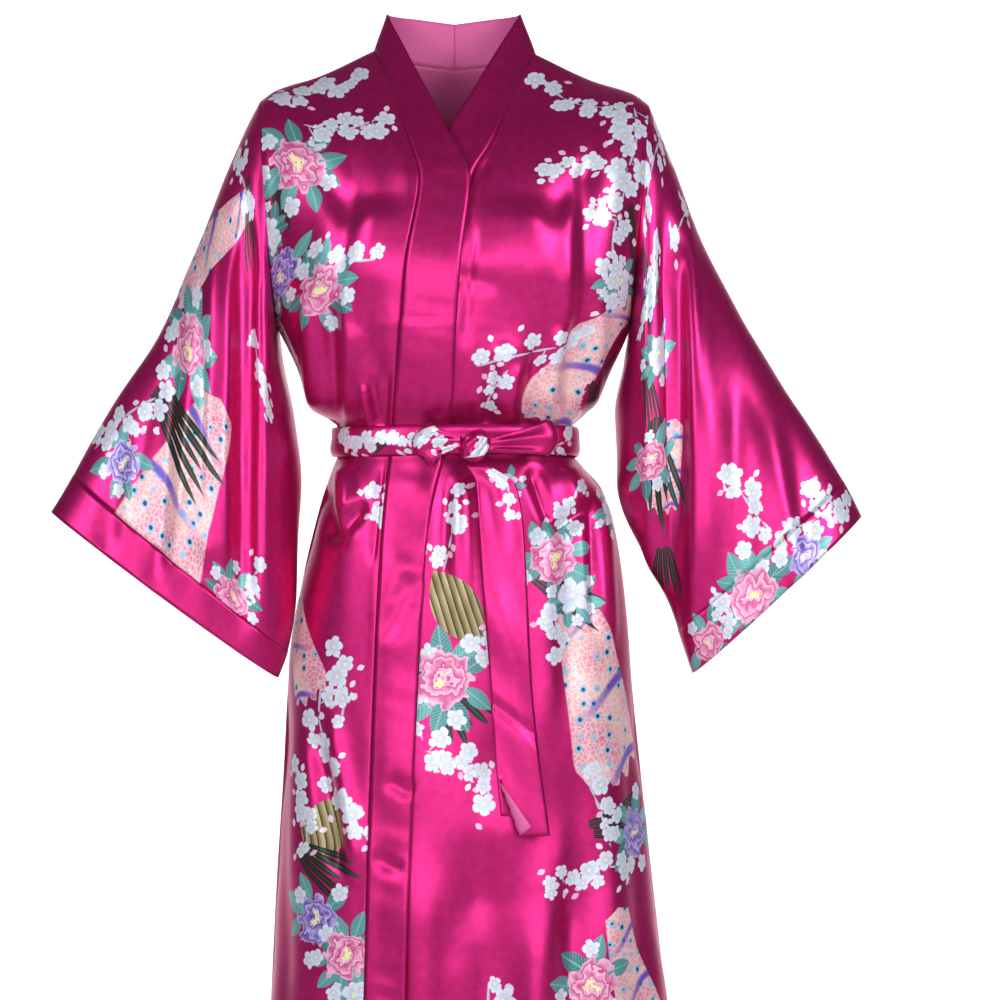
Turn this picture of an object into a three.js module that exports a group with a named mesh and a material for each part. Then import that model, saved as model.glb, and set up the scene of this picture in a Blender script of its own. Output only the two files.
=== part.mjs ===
// Satin kimono robe as it hangs on a wearer: crossed fronts, wide sleeves, neckband and tied sash.
// Millimetres, +Z up. The origin is the middle of the neck base and the front faces -Y.
import * as THREE from "three";

// Cloth
const PANEL_WALL = 2;
const BAND_WALL = 3;
const SEAM_GAP = 0.4;
const SATIN = { color: 0xd6267f, roughness: 0.38, metalness: 0 };
const SATIN_DEEP = { color: 0xb01a63, roughness: 0.4, metalness: 0 };

// Grid steps
const SHOULDER_STEPS = 10;
const BACK_NECK_STEPS = 4;
const YOKE_STEPS = 10;
const SLEEVE_STEPS = 12;
const CUFF_STEPS = 2;
const BAND_STEPS = 2;
const WAIST_STEPS = 40;
const STRIP_STEPS = 3;
const LOOP_STEPS = 16;
const KNOT_STEPS = { around: 20, up: 12 };

// Levels where the panels change
const ARMPIT_Z = -300;
const CUFF_START = 0.9;
const LAYER_LIFT = { right: 3, left: -4 };
const DIAGONAL_FULLNESS = 0.05;
const WAIST_SEAM_Z = -436;

// Where the overlap's lift and the neck edge's shift fade out: shares up the yoke and across the panel
const LIFT_FADE = { start: 0.55, length: 0.35 };
const LIFT_ACROSS = 0.9;
const NECK_SHIFT_FADE = 0.4;
const YOKE_FOLD_POWER = 4;

// Body sections from hem to armpit: half width on each side, depth in front and behind
const BODY_ROWS = [
  { z: -1350, right: 214, left: 262, front: 152, back: 158 },
  { z: -1190, right: 206, left: 248, front: 144, back: 150 },
  { z: -1026, right: 200, left: 232, front: 136, back: 142 },
  { z: -900, right: 194, left: 218, front: 128, back: 136 },
  { z: -790, right: 187, left: 206, front: 120, back: 132 },
  { z: -680, right: 181, left: 195, front: 114, back: 130 },
  { z: -615, right: 173, left: 190, front: 112, back: 128 },
  { z: -560, right: 163, left: 184, front: 108, back: 120 },
  { z: -510, right: 151, left: 174, front: 102, back: 106 },
  { z: -475, right: 141, left: 163, front: 97, back: 95 },
  { z: -448, right: 130, left: 140, front: 90, back: 85 },
  { z: -436, right: 126, left: 130, front: 87, back: 82 },
  { z: -406, right: 127, left: 130, front: 88, back: 83 },
  { z: -393, right: 143, left: 143, front: 97, back: 92 },
  { z: -376, right: 158, left: 158, front: 108, back: 101 },
  { z: -340, right: 172, left: 173, front: 118, back: 106 },
  { z: -300, right: 192, left: 192, front: 124, back: 108 },
];

// Front edges from hem to armpit: where the band is sewn on, and its free edge
const RIGHT_EDGE_ROWS = [
  { z: -1350, seam: -98, free: -52 },
  { z: -1026, seam: -92, free: -48 },
  { z: -705, seam: -83, free: -36 },
  { z: -529, seam: -75, free: -26 },
  { z: -391, seam: -62, free: 0 },
  { z: -300, seam: -55, free: 5 },
];
const LEFT_EDGE_ROWS = [
  { z: -1350, seam: -82, free: -130 },
  { z: -1026, seam: -76, free: -124 },
  { z: -705, seam: -66, free: -114 },
  { z: -529, seam: -58, free: -104 },
  { z: -391, seam: -42, free: -88 },
  { z: -300, seam: -22, free: -74 },
];

// The neckband from armpit (0) over the shoulder (1) to the centre back (2)
const RIGHT_NECK_ROWS = [
  { level: 0.0, seamX: -55, seamY: -119, seamZ: -300, freeX: 5, freeY: -122, freeZ: -300 },
  { level: 0.22, seamX: -49, seamY: -124, seamZ: -231, freeX: 10, freeY: -127, freeZ: -233 },
  { level: 0.45, seamX: -35, seamY: -112, seamZ: -145, freeX: 20, freeY: -112, freeZ: -142 },
  { level: 0.62, seamX: -47, seamY: -93, seamZ: -100, freeX: -5, freeY: -92, freeZ: -89 },
  { level: 0.78, seamX: -62, seamY: -64, seamZ: -57, freeX: -27, freeY: -66, freeZ: -44 },
  { level: 0.9, seamX: -75, seamY: -34, seamZ: -20, freeX: -52, freeY: -34, freeZ: 6 },
  { level: 1.0, seamX: -87, seamY: 0, seamZ: 8, freeX: -73, freeY: 2, freeZ: 49 },
  { level: 1.5, seamX: -55, seamY: 50, seamZ: 2, freeX: -48, freeY: 47, freeZ: 51 },
  { level: 2.0, seamX: 0, seamY: 68, seamZ: -4, freeX: 0, freeY: 62, freeZ: 47 },
];
const LEFT_NECK_ROWS = [
  { level: 0.0, seamX: -22, seamY: -124, seamZ: -300, freeX: -74, freeY: -117, freeZ: -300 },
  { level: 0.22, seamX: 2, seamY: -127, seamZ: -231, freeX: -60, freeY: -122, freeZ: -228 },
  { level: 0.45, seamX: 22, seamY: -110, seamZ: -140, freeX: -30, freeY: -109, freeZ: -134 },
  { level: 0.62, seamX: 44, seamY: -93, seamZ: -100, freeX: -5, freeY: -91, freeZ: -89 },
  { level: 0.78, seamX: 60, seamY: -64, seamZ: -60, freeX: 22, freeY: -66, freeZ: -42 },
  { level: 0.9, seamX: 73, seamY: -34, seamZ: -25, freeX: 48, freeY: -34, freeZ: 5 },
  { level: 1.0, seamX: 90, seamY: 0, seamZ: 4, freeX: 73, freeY: 2, freeZ: 49 },
  { level: 1.5, seamX: 55, seamY: 50, seamZ: 0, freeX: 48, freeY: 47, freeZ: 51 },
  { level: 2.0, seamX: 0, seamY: 68, seamZ: -4, freeX: 0, freeY: 62, freeZ: 47 },
];

// Shoulder seams, neck to shoulder tip
const SHOULDER_ROWS = [
  { share: 0.0, drop: 0.0 },
  { share: 0.5, drop: 0.52 },
  { share: 0.86, drop: 0.78 },
  { share: 1.0, drop: 1.0 },
];

// Centre of the back, armpit to neck
const CENTRE_BACK_ROWS = [
  { level: 0.0, y: 108, z: -300 },
  { level: 0.3, y: 113, z: -212 },
  { level: 0.6, y: 108, z: -122 },
  { level: 0.85, y: 88, z: -44 },
  { level: 1.0, y: 68, z: -4 },
];

// Sleeves: outer fold line and underarm line, middle depth and half depth, armhole (0) to cuff edge (1)
const RIGHT_SLEEVE_ROWS = [
  { at: 0.0, topX: -212, topZ: -48, lowX: -192, lowZ: -300, middleY: 0, depth: 62 },
  { at: 0.12, topX: -236, topZ: -96, lowX: -188, lowZ: -338, middleY: -3, depth: 65 },
  { at: 0.3, topX: -271, topZ: -188, lowX: -174, lowZ: -402, middleY: -12, depth: 66 },
  { at: 0.5, topX: -313, topZ: -288, lowX: -166, lowZ: -478, middleY: -26, depth: 61 },
  { at: 0.75, topX: -373, topZ: -394, lowX: -170, lowZ: -588, middleY: -44, depth: 54 },
  { at: 0.9, topX: -411, topZ: -459, lowX: -180, lowZ: -648, middleY: -52, depth: 50 },
  { at: 1.0, topX: -433, topZ: -499, lowX: -190, lowZ: -677, middleY: -56, depth: 48 },
];
const LEFT_SLEEVE_ROWS = [
  { at: 0.0, topX: 214, topZ: -52, lowX: 192, lowZ: -300, middleY: 0, depth: 62 },
  { at: 0.12, topX: 239, topZ: -112, lowX: 189, lowZ: -336, middleY: -3, depth: 65 },
  { at: 0.3, topX: 272, topZ: -205, lowX: 178, lowZ: -394, middleY: -12, depth: 66 },
  { at: 0.5, topX: 317, topZ: -294, lowX: 178, lowZ: -462, middleY: -26, depth: 61 },
  { at: 0.75, topX: 383, topZ: -400, lowX: 212, lowZ: -556, middleY: -44, depth: 54 },
  { at: 0.9, topX: 422, topZ: -465, lowX: 244, lowZ: -626, middleY: -52, depth: 50 },
  { at: 1.0, topX: 441, topZ: -504, lowX: 260, lowZ: -672, middleY: -56, depth: 48 },
];
const UNDERARM = { gap: 3.5, turnFrom: 0.2, turnSpan: 1.2, fade: 0.12 };
const BACK_CUFF_DROP = 12;

// Folds seen from the front: a ridge is positive, a trough negative
const FRONT_FOLDS = [
  { x0: -149, z0: -700, x1: -112, z1: -900, width: 13, depth: -6 },
  { x0: -128, z0: -700, x1: -90, z1: -900, width: 13, depth: 4 },
  { x0: -112, z0: -440, x1: -116, z1: -540, width: 12, depth: 7 },
  { x0: -132, z0: -438, x1: -134, z1: -560, width: 9, depth: -5 },
  { x0: 146, z0: -440, x1: 156, z1: -640, width: 12, depth: 6 },
  { x0: 122, z0: -450, x1: 132, z1: -700, width: 12, depth: -5 },
  { x0: 100, z0: -445, x1: 104, z1: -760, width: 12, depth: 4 },
  { x0: 168, z0: -760, x1: 184, z1: -1500, width: 16, depth: 7 },
  { x0: 134, z0: -720, x1: 142, z1: -1500, width: 16, depth: -7 },
  { x0: 84, z0: -900, x1: 92, z1: -1500, width: 18, depth: 5 },
  { x0: 10, z0: -980, x1: 12, z1: -1500, width: 18, depth: -5 },
  { x0: -150, z0: -1000, x1: -150, z1: -1500, width: 15, depth: 5 },
  { x0: 150, z0: -250, x1: 128, z1: -400, width: 12, depth: -7 },
  { x0: 128, z0: -235, x1: 106, z1: -400, width: 12, depth: 5 },
  { x0: 96, z0: -300, x1: 84, z1: -402, width: 10, depth: -4 },
  { x0: 58, z0: -310, x1: 54, z1: -402, width: 10, depth: 4 },
  { x0: -80, z0: -320, x1: -76, z1: -402, width: 10, depth: -4 },
  { x0: -104, z0: -290, x1: -98, z1: -402, width: 11, depth: 5 },
  { x0: -136, z0: -260, x1: -122, z1: -402, width: 12, depth: -6 },
  { x0: 84, z0: -160, x1: 84, z1: -280, width: 42, depth: 9 },
  { x0: -84, z0: -160, x1: -84, z1: -280, width: 36, depth: 9 },
  { x0: -196, z0: -60, x1: -188, z1: -240, width: 12, depth: -6 },
  { x0: 196, z0: -60, x1: 188, z1: -240, width: 12, depth: -6 },
];
const BACK_FOLDS = [
  { x0: -130, z0: -290, x1: -104, z1: -402, width: 12, depth: -5 },
  { x0: -84, z0: -300, x1: -70, z1: -402, width: 11, depth: 5 },
  { x0: -42, z0: -310, x1: -36, z1: -402, width: 10, depth: -4 },
  { x0: 4, z0: -290, x1: 2, z1: -402, width: 11, depth: 5 },
  { x0: 46, z0: -310, x1: 38, z1: -402, width: 10, depth: -5 },
  { x0: 90, z0: -290, x1: 74, z1: -402, width: 11, depth: 4 },
  { x0: 134, z0: -280, x1: 108, z1: -402, width: 12, depth: -5 },
  { x0: -88, z0: -445, x1: -146, z1: -1500, width: 17, depth: 7 },
  { x0: -56, z0: -445, x1: -96, z1: -1500, width: 16, depth: -7 },
  { x0: -24, z0: -445, x1: -44, z1: -1500, width: 16, depth: 6 },
  { x0: 12, z0: -445, x1: 10, z1: -1500, width: 17, depth: -6 },
  { x0: 44, z0: -445, x1: 70, z1: -1500, width: 16, depth: 7 },
  { x0: 78, z0: -445, x1: 124, z1: -1500, width: 17, depth: -6 },
  { x0: 106, z0: -445, x1: 180, z1: -1500, width: 17, depth: 6 },
  { x0: 0, z0: -90, x1: 0, z1: -300, width: 70, depth: -5 },
  { x0: -192, z0: -60, x1: -176, z1: -260, width: 13, depth: -5 },
  { x0: 192, z0: -60, x1: 176, z1: -260, width: 13, depth: -5 },
];
const SLEEVE_FOLDS = [
  { x0: -219, z0: -150, x1: -217, z1: -640, width: 11, depth: -9 },
  { x0: -243, z0: -180, x1: -244, z1: -640, width: 14, depth: 6 },
  { x0: -300, z0: -330, x1: -330, z1: -600, width: 14, depth: -5 },
  { x0: -278, z0: -300, x1: -296, z1: -600, width: 14, depth: 5 },
  { x0: 244, z0: -160, x1: 245, z1: -660, width: 11, depth: -10 },
  { x0: 268, z0: -200, x1: 272, z1: -660, width: 14, depth: 7 },
  { x0: 300, z0: -330, x1: 318, z1: -640, width: 14, depth: -5 },
  { x0: 340, z0: -360, x1: 372, z1: -600, width: 15, depth: 5 },
];
const FOLD_FADE = 0.25;
const SLEEVE_FOLD_FADE = 0.15;

// Sewing: walls that face each other more than this keep their own directions
const OPPOSED = { seam: -0.6, armhole: 0.25 };
const SHARING_ROUNDS = 12;

// Sash
const SASH = { top: -406, bottom: -438, lift: 7, wall: 3, belly: 1.5 };
const KNOT = { x: 24, z: -427, halfWidth: 21, halfDepth: 13, halfHeight: 21, gap: 0.6, taper: 0.12 };
const KNOT_GROOVE = { depth: 0.1, width: 0.22, slant: 0.25 };
const BOW = { fullness: 0.8, lean: 3 };
const BOW_LOOPS = [
  { name: "right_bow_loop", start: 3.3, reach: -46, z: -424, rise: 2, narrow: 11, wide: 23, depth: 9 },
  { name: "left_bow_loop", start: 44.8, reach: 68, z: -427, rise: 10, narrow: 9, wide: 20, depth: 9 },
];
const SASH_END_ROWS = [
  { z: -448.4, left: 15, right: 38 },
  { z: -470, left: 26, right: 68 },
  { z: -514, left: 29, right: 76 },
  { z: -583, left: 33, right: 80 },
  { z: -682, left: 41, right: 85 },
  { z: -760, left: 46, right: 93 },
  { z: -841, left: 54, right: 104 },
];
const SASH_ENDS = [
  { name: "front_sash_end", lift: 15, bottom: -841, steps: 16, behindKnot: -1.2 },
  { name: "rear_sash_end", lift: 9, bottom: -820, steps: 16, behindKnot: 1.2 },
];
const SASH_END_FALL = 34;

const clamp = (value, low, high) => Math.min(high, Math.max(low, value));

function smooth(value) {
  const t = clamp(value, 0, 1);
  return t * t * (3 - 2 * t);
}

// A smooth value between the rows of a table, with no overshoot.
function tableAt(rows, key, column, at) {
  const last = rows.length - 1;
  const x = clamp(at, rows[0][key], rows[last][key]);
  const slope = (i) => (rows[i + 1][column] - rows[i][column]) / (rows[i + 1][key] - rows[i][key]);
  const tangent = (i) => {
    if (i === 0) return slope(0);
    if (i === last) return slope(last - 1);
    const before = slope(i - 1);
    const after = slope(i);
    return before * after <= 0 ? 0 : (2 * before * after) / (before + after);
  };
  let i = 0;
  while (i < last - 1 && x > rows[i + 1][key]) i += 1;
  const step = rows[i + 1][key] - rows[i][key];
  const t = (x - rows[i][key]) / step;
  const startWeight = (1 + 2 * t) * (1 - t) ** 2;
  const startTangent = t * (1 - t) ** 2;
  const endTangent = t * t * (t - 1);
  return (
    startWeight * rows[i][column] +
    (1 - startWeight) * rows[i + 1][column] +
    step * (startTangent * tangent(i) + endTangent * tangent(i + 1))
  );
}

// How far the folds push the cloth out at a place seen from the front.
function foldDepth(folds, x, z) {
  let depth = 0;
  for (const fold of folds) {
    const runX = fold.x1 - fold.x0;
    const runZ = fold.z1 - fold.z0;
    const length = Math.hypot(runX, runZ);
    const along = ((x - fold.x0) * runX + (z - fold.z0) * runZ) / length ** 2;
    const across = ((x - fold.x0) * runZ - (z - fold.z0) * runX) / length;
    const ends = smooth(along / FOLD_FADE) * smooth((1 - along) / FOLD_FADE);
    depth += fold.depth * ends * Math.exp(-((across / fold.width) ** 2));
  }
  return depth;
}

// A point of the body below the armpits. Angle 0 is the centre front, +-PI/2 the sides, PI the centre back.
function bodyPoint(angle, z, lift = 0) {
  const sine = Math.sin(angle);
  const cosine = Math.cos(angle);
  const fullness = 1 + DIAGONAL_FULLNESS * Math.sin(2 * angle) ** 2;
  const halfWidth = tableAt(BODY_ROWS, "z", sine < 0 ? "right" : "left", z) * fullness;
  const depth = tableAt(BODY_ROWS, "z", cosine > 0 ? "front" : "back", z) * fullness;
  const folds = cosine > 0 ? FRONT_FOLDS : BACK_FOLDS;
  const out = lift + foldDepth(folds, halfWidth * sine, z) * Math.abs(cosine);
  return new THREE.Vector3((halfWidth + out) * sine, -(depth + out) * cosine, z);
}

// The angle at which the front of the body has this x, found by halving.
const HALVINGS = 30;

function frontAngle(x, z) {
  let low = -Math.PI / 2;
  let high = Math.PI / 2;
  for (let i = 0; i < HALVINGS; i += 1) {
    const middle = (low + high) / 2;
    if (bodyPoint(middle, z).x < x) low = middle;
    else high = middle;
  }
  return (low + high) / 2;
}

// A point of a sleeve. Turn 0 is the outer fold line, PI/2 the front, PI the underarm, 3PI/2 the back.
function sleevePoint(rows, at, turn) {
  const value = (column) => tableAt(rows, "at", column, at);
  const upDown = (1 + Math.cos(turn)) / 2;
  const inOut = Math.sin(turn);
  const x = value("lowX") + (value("topX") - value("lowX")) * upDown;
  const z = value("lowZ") + (value("topZ") - value("lowZ")) * upDown;
  const folds = foldDepth(SLEEVE_FOLDS, x, z) * Math.abs(inOut) * smooth(at / SLEEVE_FOLD_FADE);
  const drop = BACK_CUFF_DROP * Math.max(0, -inOut) * at * at;
  return new THREE.Vector3(x, value("middleY") - (value("depth") + folds) * inOut, z - drop);
}

function neckPoint(rows, edge, level) {
  return new THREE.Vector3(
    tableAt(rows, "level", `${edge}X`, level),
    tableAt(rows, "level", `${edge}Y`, level),
    tableAt(rows, "level", `${edge}Z`, level),
  );
}

// The two halves of the garment: side is -1 for the wearer's right and 1 for the left.
const RIGHT = {
  name: "right",
  side: -1,
  lift: LAYER_LIFT.right,
  edges: RIGHT_EDGE_ROWS,
  neck: RIGHT_NECK_ROWS,
  sleeve: RIGHT_SLEEVE_ROWS,
};
const LEFT = {
  name: "left",
  side: 1,
  lift: LAYER_LIFT.left,
  edges: LEFT_EDGE_ROWS,
  neck: LEFT_NECK_ROWS,
  sleeve: LEFT_SLEEVE_ROWS,
};

// How much of the front's overlap lift is left at a level above the armpit.
const liftShare = (level) => 1 - smooth((level - LIFT_FADE.start) / LIFT_FADE.length);

// The neck edge of a front above the armpit, from its table, starting where the body section ends.
function neckEdge(half, edge, level) {
  const start = neckPoint(half.neck, edge, 0);
  const x = tableAt(half.edges, "z", edge, ARMPIT_Z);
  const shift = bodyPoint(frontAngle(x, ARMPIT_Z), ARMPIT_Z).sub(start);
  const point = neckPoint(half.neck, edge, level);
  point.addScaledVector(shift, 1 - smooth(level / NECK_SHIFT_FADE));
  point.y -= half.lift * liftShare(level);
  return point;
}

function shoulderPoint(half, share) {
  const neck = neckPoint(half.neck, "seam", 1);
  const tip = sleevePoint(half.sleeve, 0, 0);
  const drop = tableAt(SHOULDER_ROWS, "share", "drop", share);
  return new THREE.Vector3(
    neck.x + (tip.x - neck.x) * share,
    0,
    neck.z + (tip.z - neck.z) * drop,
  );
}

// A surface stretched between four edge curves.
function stretched(inner, outer, low, high, across, up) {
  const point = inner(up).multiplyScalar(1 - across).addScaledVector(outer(up), across);
  point.addScaledVector(low(across), 1 - up).addScaledVector(high(across), up);
  point.addScaledVector(low(0), -(1 - across) * (1 - up));
  point.addScaledVector(low(1), -across * (1 - up));
  point.addScaledVector(high(0), -(1 - across) * up);
  point.addScaledVector(high(1), -across * up);
  return point;
}

const armholePoint = (half, level, front) =>
  sleevePoint(half.sleeve, 0, Math.PI * (front ? 1 - level : 1 + level));

function frontYoke(half, across, level) {
  const side = (half.side * Math.PI) / 2;
  const start = frontAngle(tableAt(half.edges, "z", "seam", ARMPIT_Z), ARMPIT_Z);
  const lift = half.lift;
  const point = stretched(
    (up) => neckEdge(half, "seam", up),
    (up) => armholePoint(half, up, true),
    (share) => frontPanelPoint(half, share, ARMPIT_Z, start, side, lift),
    (share) => shoulderPoint(half, share),
    across,
    level,
  );
  point.y -= foldDepth(FRONT_FOLDS, point.x, point.z) * Math.sin(Math.PI * level) ** 2 * (1 - across ** YOKE_FOLD_POWER);
  return point;
}

function frontPanelPoint(half, across, z, start, side, lift) {
  const angle = start + (side - start) * across;
  return bodyPoint(angle, z, lift * (1 - smooth(across / LIFT_ACROSS)));
}

function backYoke(half, across, level) {
  const side = (half.side * Math.PI) / 2;
  const neckShare = BACK_NECK_STEPS / (BACK_NECK_STEPS + SHOULDER_STEPS);
  const centre = (up) =>
    new THREE.Vector3(
      0,
      tableAt(CENTRE_BACK_ROWS, "level", "y", up),
      tableAt(CENTRE_BACK_ROWS, "level", "z", up),
    );
  const top = (share) =>
    share < neckShare
      ? neckPoint(half.neck, "seam", 2 - share / neckShare)
      : shoulderPoint(half, (share - neckShare) / (1 - neckShare));
  const point = stretched(
    centre,
    (up) => armholePoint(half, up, false),
    (share) => bodyPoint(side * (2 - share), ARMPIT_Z),
    top,
    across,
    level,
  );
  point.y += foldDepth(BACK_FOLDS, point.x, point.z) * Math.sin(Math.PI * level) ** 2 * (1 - across ** YOKE_FOLD_POWER);
  return point;
}

// A grid of cloth: rows of points, which way is outside, and how thick the wall is.
function clothGrid(name, rows, wall, wraps, outsideOf) {
  const normals = rows.map((row, r) =>
    row.map((point, c) => {
      const last = row.length - 1;
      const before = c > 0 ? row[c - 1] : wraps ? row[last] : point;
      const after = c < last ? row[c + 1] : wraps ? row[0] : point;
      const below = rows[Math.max(r - 1, 0)][c];
      const above = rows[Math.min(r + 1, rows.length - 1)][c];
      const along = after.clone().sub(before);
      return along.cross(above.clone().sub(below)).normalize();
    }),
  );
  const r = Math.floor(rows.length / 2);
  const c = Math.floor(rows[0].length / 4);
  const facing = normals[r][c].dot(rows[r][c].clone().sub(outsideOf(rows[r][c])));
  if (facing < 0) normals.forEach((row) => row.forEach((normal) => normal.negate()));
  return { name, rows, normals, wall, wraps, moves: [] };
}

// The places along one edge of a grid, each with the neighbour just inside it.
function edgeOf(grid, edge, from = 0, to = Infinity) {
  const lastRow = grid.rows.length - 1;
  const lastColumn = grid.rows[0].length - 1;
  const places = [];
  const alongRows = edge === "start" || edge === "end";
  const count = alongRows ? lastRow : lastColumn;
  for (let i = Math.max(from, 0); i <= Math.min(to, count); i += 1) {
    if (edge === "start") places.push([i, 0, i, 1]);
    if (edge === "end") places.push([i, lastColumn, i, lastColumn - 1]);
    if (edge === "bottom") places.push([0, i, 1, i]);
    if (edge === "top") places.push([lastRow, i, lastRow - 1, i]);
  }
  return places;
}

// Two grids that are sewn together share the wall's direction at the seam and stay a thread apart.
const seamPairs = [];

function sew(first, firstPlaces, second, secondPlaces, kind = "seam") {
  firstPlaces.forEach((place, i) => {
    const [r1, c1] = place;
    const [r2, c2] = secondPlaces[i];
    seamPairs.push([first.normals[r1][c1], second.normals[r2][c2], OPPOSED[kind]]);
    first.moves.push(place);
    second.moves.push(secondPlaces[i]);
  });
}

// Where several seams meet, a few rounds bring all their walls to one direction.
function shareWallDirections() {
  for (let round = 0; round < SHARING_ROUNDS; round += 1)
    for (const [a, b, opposed] of seamPairs) {
      if (a.dot(b) < opposed) continue;
      const shared = a.clone().add(b).normalize();
      a.copy(shared);
      b.copy(shared);
    }
}

// Draws the sewn or cut edges in, half a seam's gap each.
function drawIn(grid) {
  const pulled = grid.moves.map(([r, c, nr, nc]) => ({
    point: grid.rows[r][c],
    step: grid.rows[nr][nc].clone().sub(grid.rows[r][c]).setLength(SEAM_GAP / 2),
  }));
  pulled.forEach(({ point, step }) => point.add(step));
}

// A part of a grid that is already drawn in, between two rows and two columns.
function cutOf(grid, name, [fromRow, toRow], [fromColumn, toColumn] = [0, grid.rows[0].length - 1]) {
  const ring = (row) => (grid.wraps ? [...row, row[0]] : row);
  const cut = (cells) =>
    cells.slice(fromRow, toRow + 1).map((row) => ring(row).slice(fromColumn, toColumn + 1).map((v) => v.clone()));
  const part = { ...grid, name, rows: cut(grid.rows), normals: cut(grid.normals), wraps: false, moves: [] };
  if (fromRow > 0) part.moves.push(...edgeOf(part, "bottom"));
  if (toRow < grid.rows.length - 1) part.moves.push(...edgeOf(part, "top"));
  if (grid.wraps || fromColumn > 0) part.moves.push(...edgeOf(part, "start"));
  if (grid.wraps || toColumn < grid.rows[0].length - 1) part.moves.push(...edgeOf(part, "end"));
  return part;
}

function clothMesh(grid, finish) {
  drawIn(grid);
  const rowCount = grid.rows.length;
  const columnCount = grid.rows[0].length;
  const positions = [];
  for (const sign of [1, -1])
    grid.rows.forEach((row, r) =>
      row.forEach((point, c) => {
        const moved = point.clone().addScaledVector(grid.normals[r][c], (sign * grid.wall) / 2);
        positions.push(moved.x, moved.y, moved.z);
      }),
    );
  const layer = rowCount * columnCount;
  const id = (r, c, inner) => r * columnCount + (c % columnCount) + (inner ? layer : 0);
  const faces = [];
  const quad = (a, b, c, d) => faces.push(a, b, c, a, c, d);
  const spans = grid.wraps ? columnCount : columnCount - 1;
  for (let r = 0; r < rowCount - 1; r += 1)
    for (let c = 0; c < spans; c += 1) {
      quad(id(r, c), id(r, c + 1), id(r + 1, c + 1), id(r + 1, c));
      quad(id(r + 1, c, true), id(r + 1, c + 1, true), id(r, c + 1, true), id(r, c, true));
    }
  for (let c = 0; c < spans; c += 1) {
    quad(id(0, c, true), id(0, c + 1, true), id(0, c + 1), id(0, c));
    quad(id(rowCount - 1, c), id(rowCount - 1, c + 1), id(rowCount - 1, c + 1, true), id(rowCount - 1, c, true));
  }
  if (!grid.wraps)
    for (let r = 0; r < rowCount - 1; r += 1) {
      quad(id(r, 0), id(r + 1, 0), id(r + 1, 0, true), id(r, 0, true));
      quad(id(r, columnCount - 1, true), id(r + 1, columnCount - 1, true), id(r + 1, columnCount - 1), id(r, columnCount - 1));
    }
  if (signedVolume(positions, faces) < 0) faces.reverse();
  const geometry = new THREE.BufferGeometry();
  geometry.setAttribute("position", new THREE.Float32BufferAttribute(positions, 3));
  geometry.setIndex(faces);
  geometry.computeVertexNormals();
  return namedMesh(grid.name, geometry, finish);
}

function signedVolume(positions, faces) {
  const corner = (i) => new THREE.Vector3().fromArray(positions, 3 * faces[i]);
  let volume = 0;
  for (let i = 0; i < faces.length; i += 3) volume += corner(i).dot(corner(i + 1).cross(corner(i + 2)));
  return volume;
}

function namedMesh(name, geometry, finish) {
  const mesh = new THREE.Mesh(geometry, new THREE.MeshStandardMaterial(finish));
  mesh.name = name;
  return mesh;
}

const upTo = (steps) => Array.from({ length: steps + 1 }, (_, i) => i / steps);
const bodyAxis = (point) => new THREE.Vector3(0, 0, point.z);
const yokeLevels = upTo(YOKE_STEPS).slice(1);

function frontPanel(half) {
  const side = (half.side * Math.PI) / 2;
  const lower = BODY_ROWS.map(({ z }) => {
    const start = frontAngle(tableAt(half.edges, "z", "seam", z), z);
    return upTo(SHOULDER_STEPS).map((across) => frontPanelPoint(half, across, z, start, side, half.lift));
  });
  const upper = yokeLevels.map((level) =>
    upTo(SHOULDER_STEPS).map((across) => frontYoke(half, across, level)),
  );
  return clothGrid(`${half.name}_front`, [...lower, ...upper], PANEL_WALL, false, bodyAxis);
}

function backPanel() {
  const shares = upTo(BACK_NECK_STEPS + SHOULDER_STEPS);
  const fromRight = [...shares].reverse();
  const lower = BODY_ROWS.map(({ z }) => [
    ...fromRight.map((across) => bodyPoint(-(Math.PI / 2) * (2 - across), z)),
    ...shares.slice(1).map((across) => bodyPoint((Math.PI / 2) * (2 - across), z)),
  ]);
  const upper = yokeLevels.map((level) => [
    ...fromRight.map((across) => backYoke(RIGHT, across, level)),
    ...shares.slice(1).map((across) => backYoke(LEFT, across, level)),
  ]);
  return clothGrid("back_panel", [...lower, ...upper], PANEL_WALL, false, bodyAxis);
}

function neckband(half) {
  const across = upTo(BAND_STEPS);
  const between = (seam, free) => across.map((share) => seam.clone().lerp(free, share));
  const lower = BODY_ROWS.map(({ z }) => {
    const start = frontAngle(tableAt(half.edges, "z", "seam", z), z);
    const end = frontAngle(tableAt(half.edges, "z", "free", z), z);
    return across.map((share) => bodyPoint(start + (end - start) * share, z, half.lift));
  });
  const upper = yokeLevels.map((level) =>
    between(neckEdge(half, "seam", level), neckEdge(half, "free", level)),
  );
  const behind = upTo(BACK_NECK_STEPS)
    .slice(1)
    .map((share) => between(neckPoint(half.neck, "seam", 1 + share), neckPoint(half.neck, "free", 1 + share)));
  return clothGrid(`${half.name}_neckband`, [...lower, ...upper, ...behind], BAND_WALL, false, bodyAxis);
}

function sleeveTube(half, name, from, to, steps, wall) {
  const turns = upTo(2 * YOKE_STEPS).slice(0, -1);
  const rows = upTo(steps).map((share) => {
    const at = from + (to - from) * share;
    return turns.map((turn) => {
      const point = sleevePoint(half.sleeve, at, 2 * Math.PI * turn);
      const low = smooth((UNDERARM.turnFrom - Math.cos(2 * Math.PI * turn)) / UNDERARM.turnSpan);
      point.x += half.side * UNDERARM.gap * low * (1 - smooth(at / UNDERARM.fade));
      return point;
    });
  });
  const middle = (point) => {
    const row = rows[Math.floor(rows.length / 2)];
    return row.reduce((sum, p) => sum.add(p), new THREE.Vector3()).divideScalar(row.length).setZ(point.z);
  };
  return clothGrid(`${half.name}_${name}`, rows, wall, true, middle);
}

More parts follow.
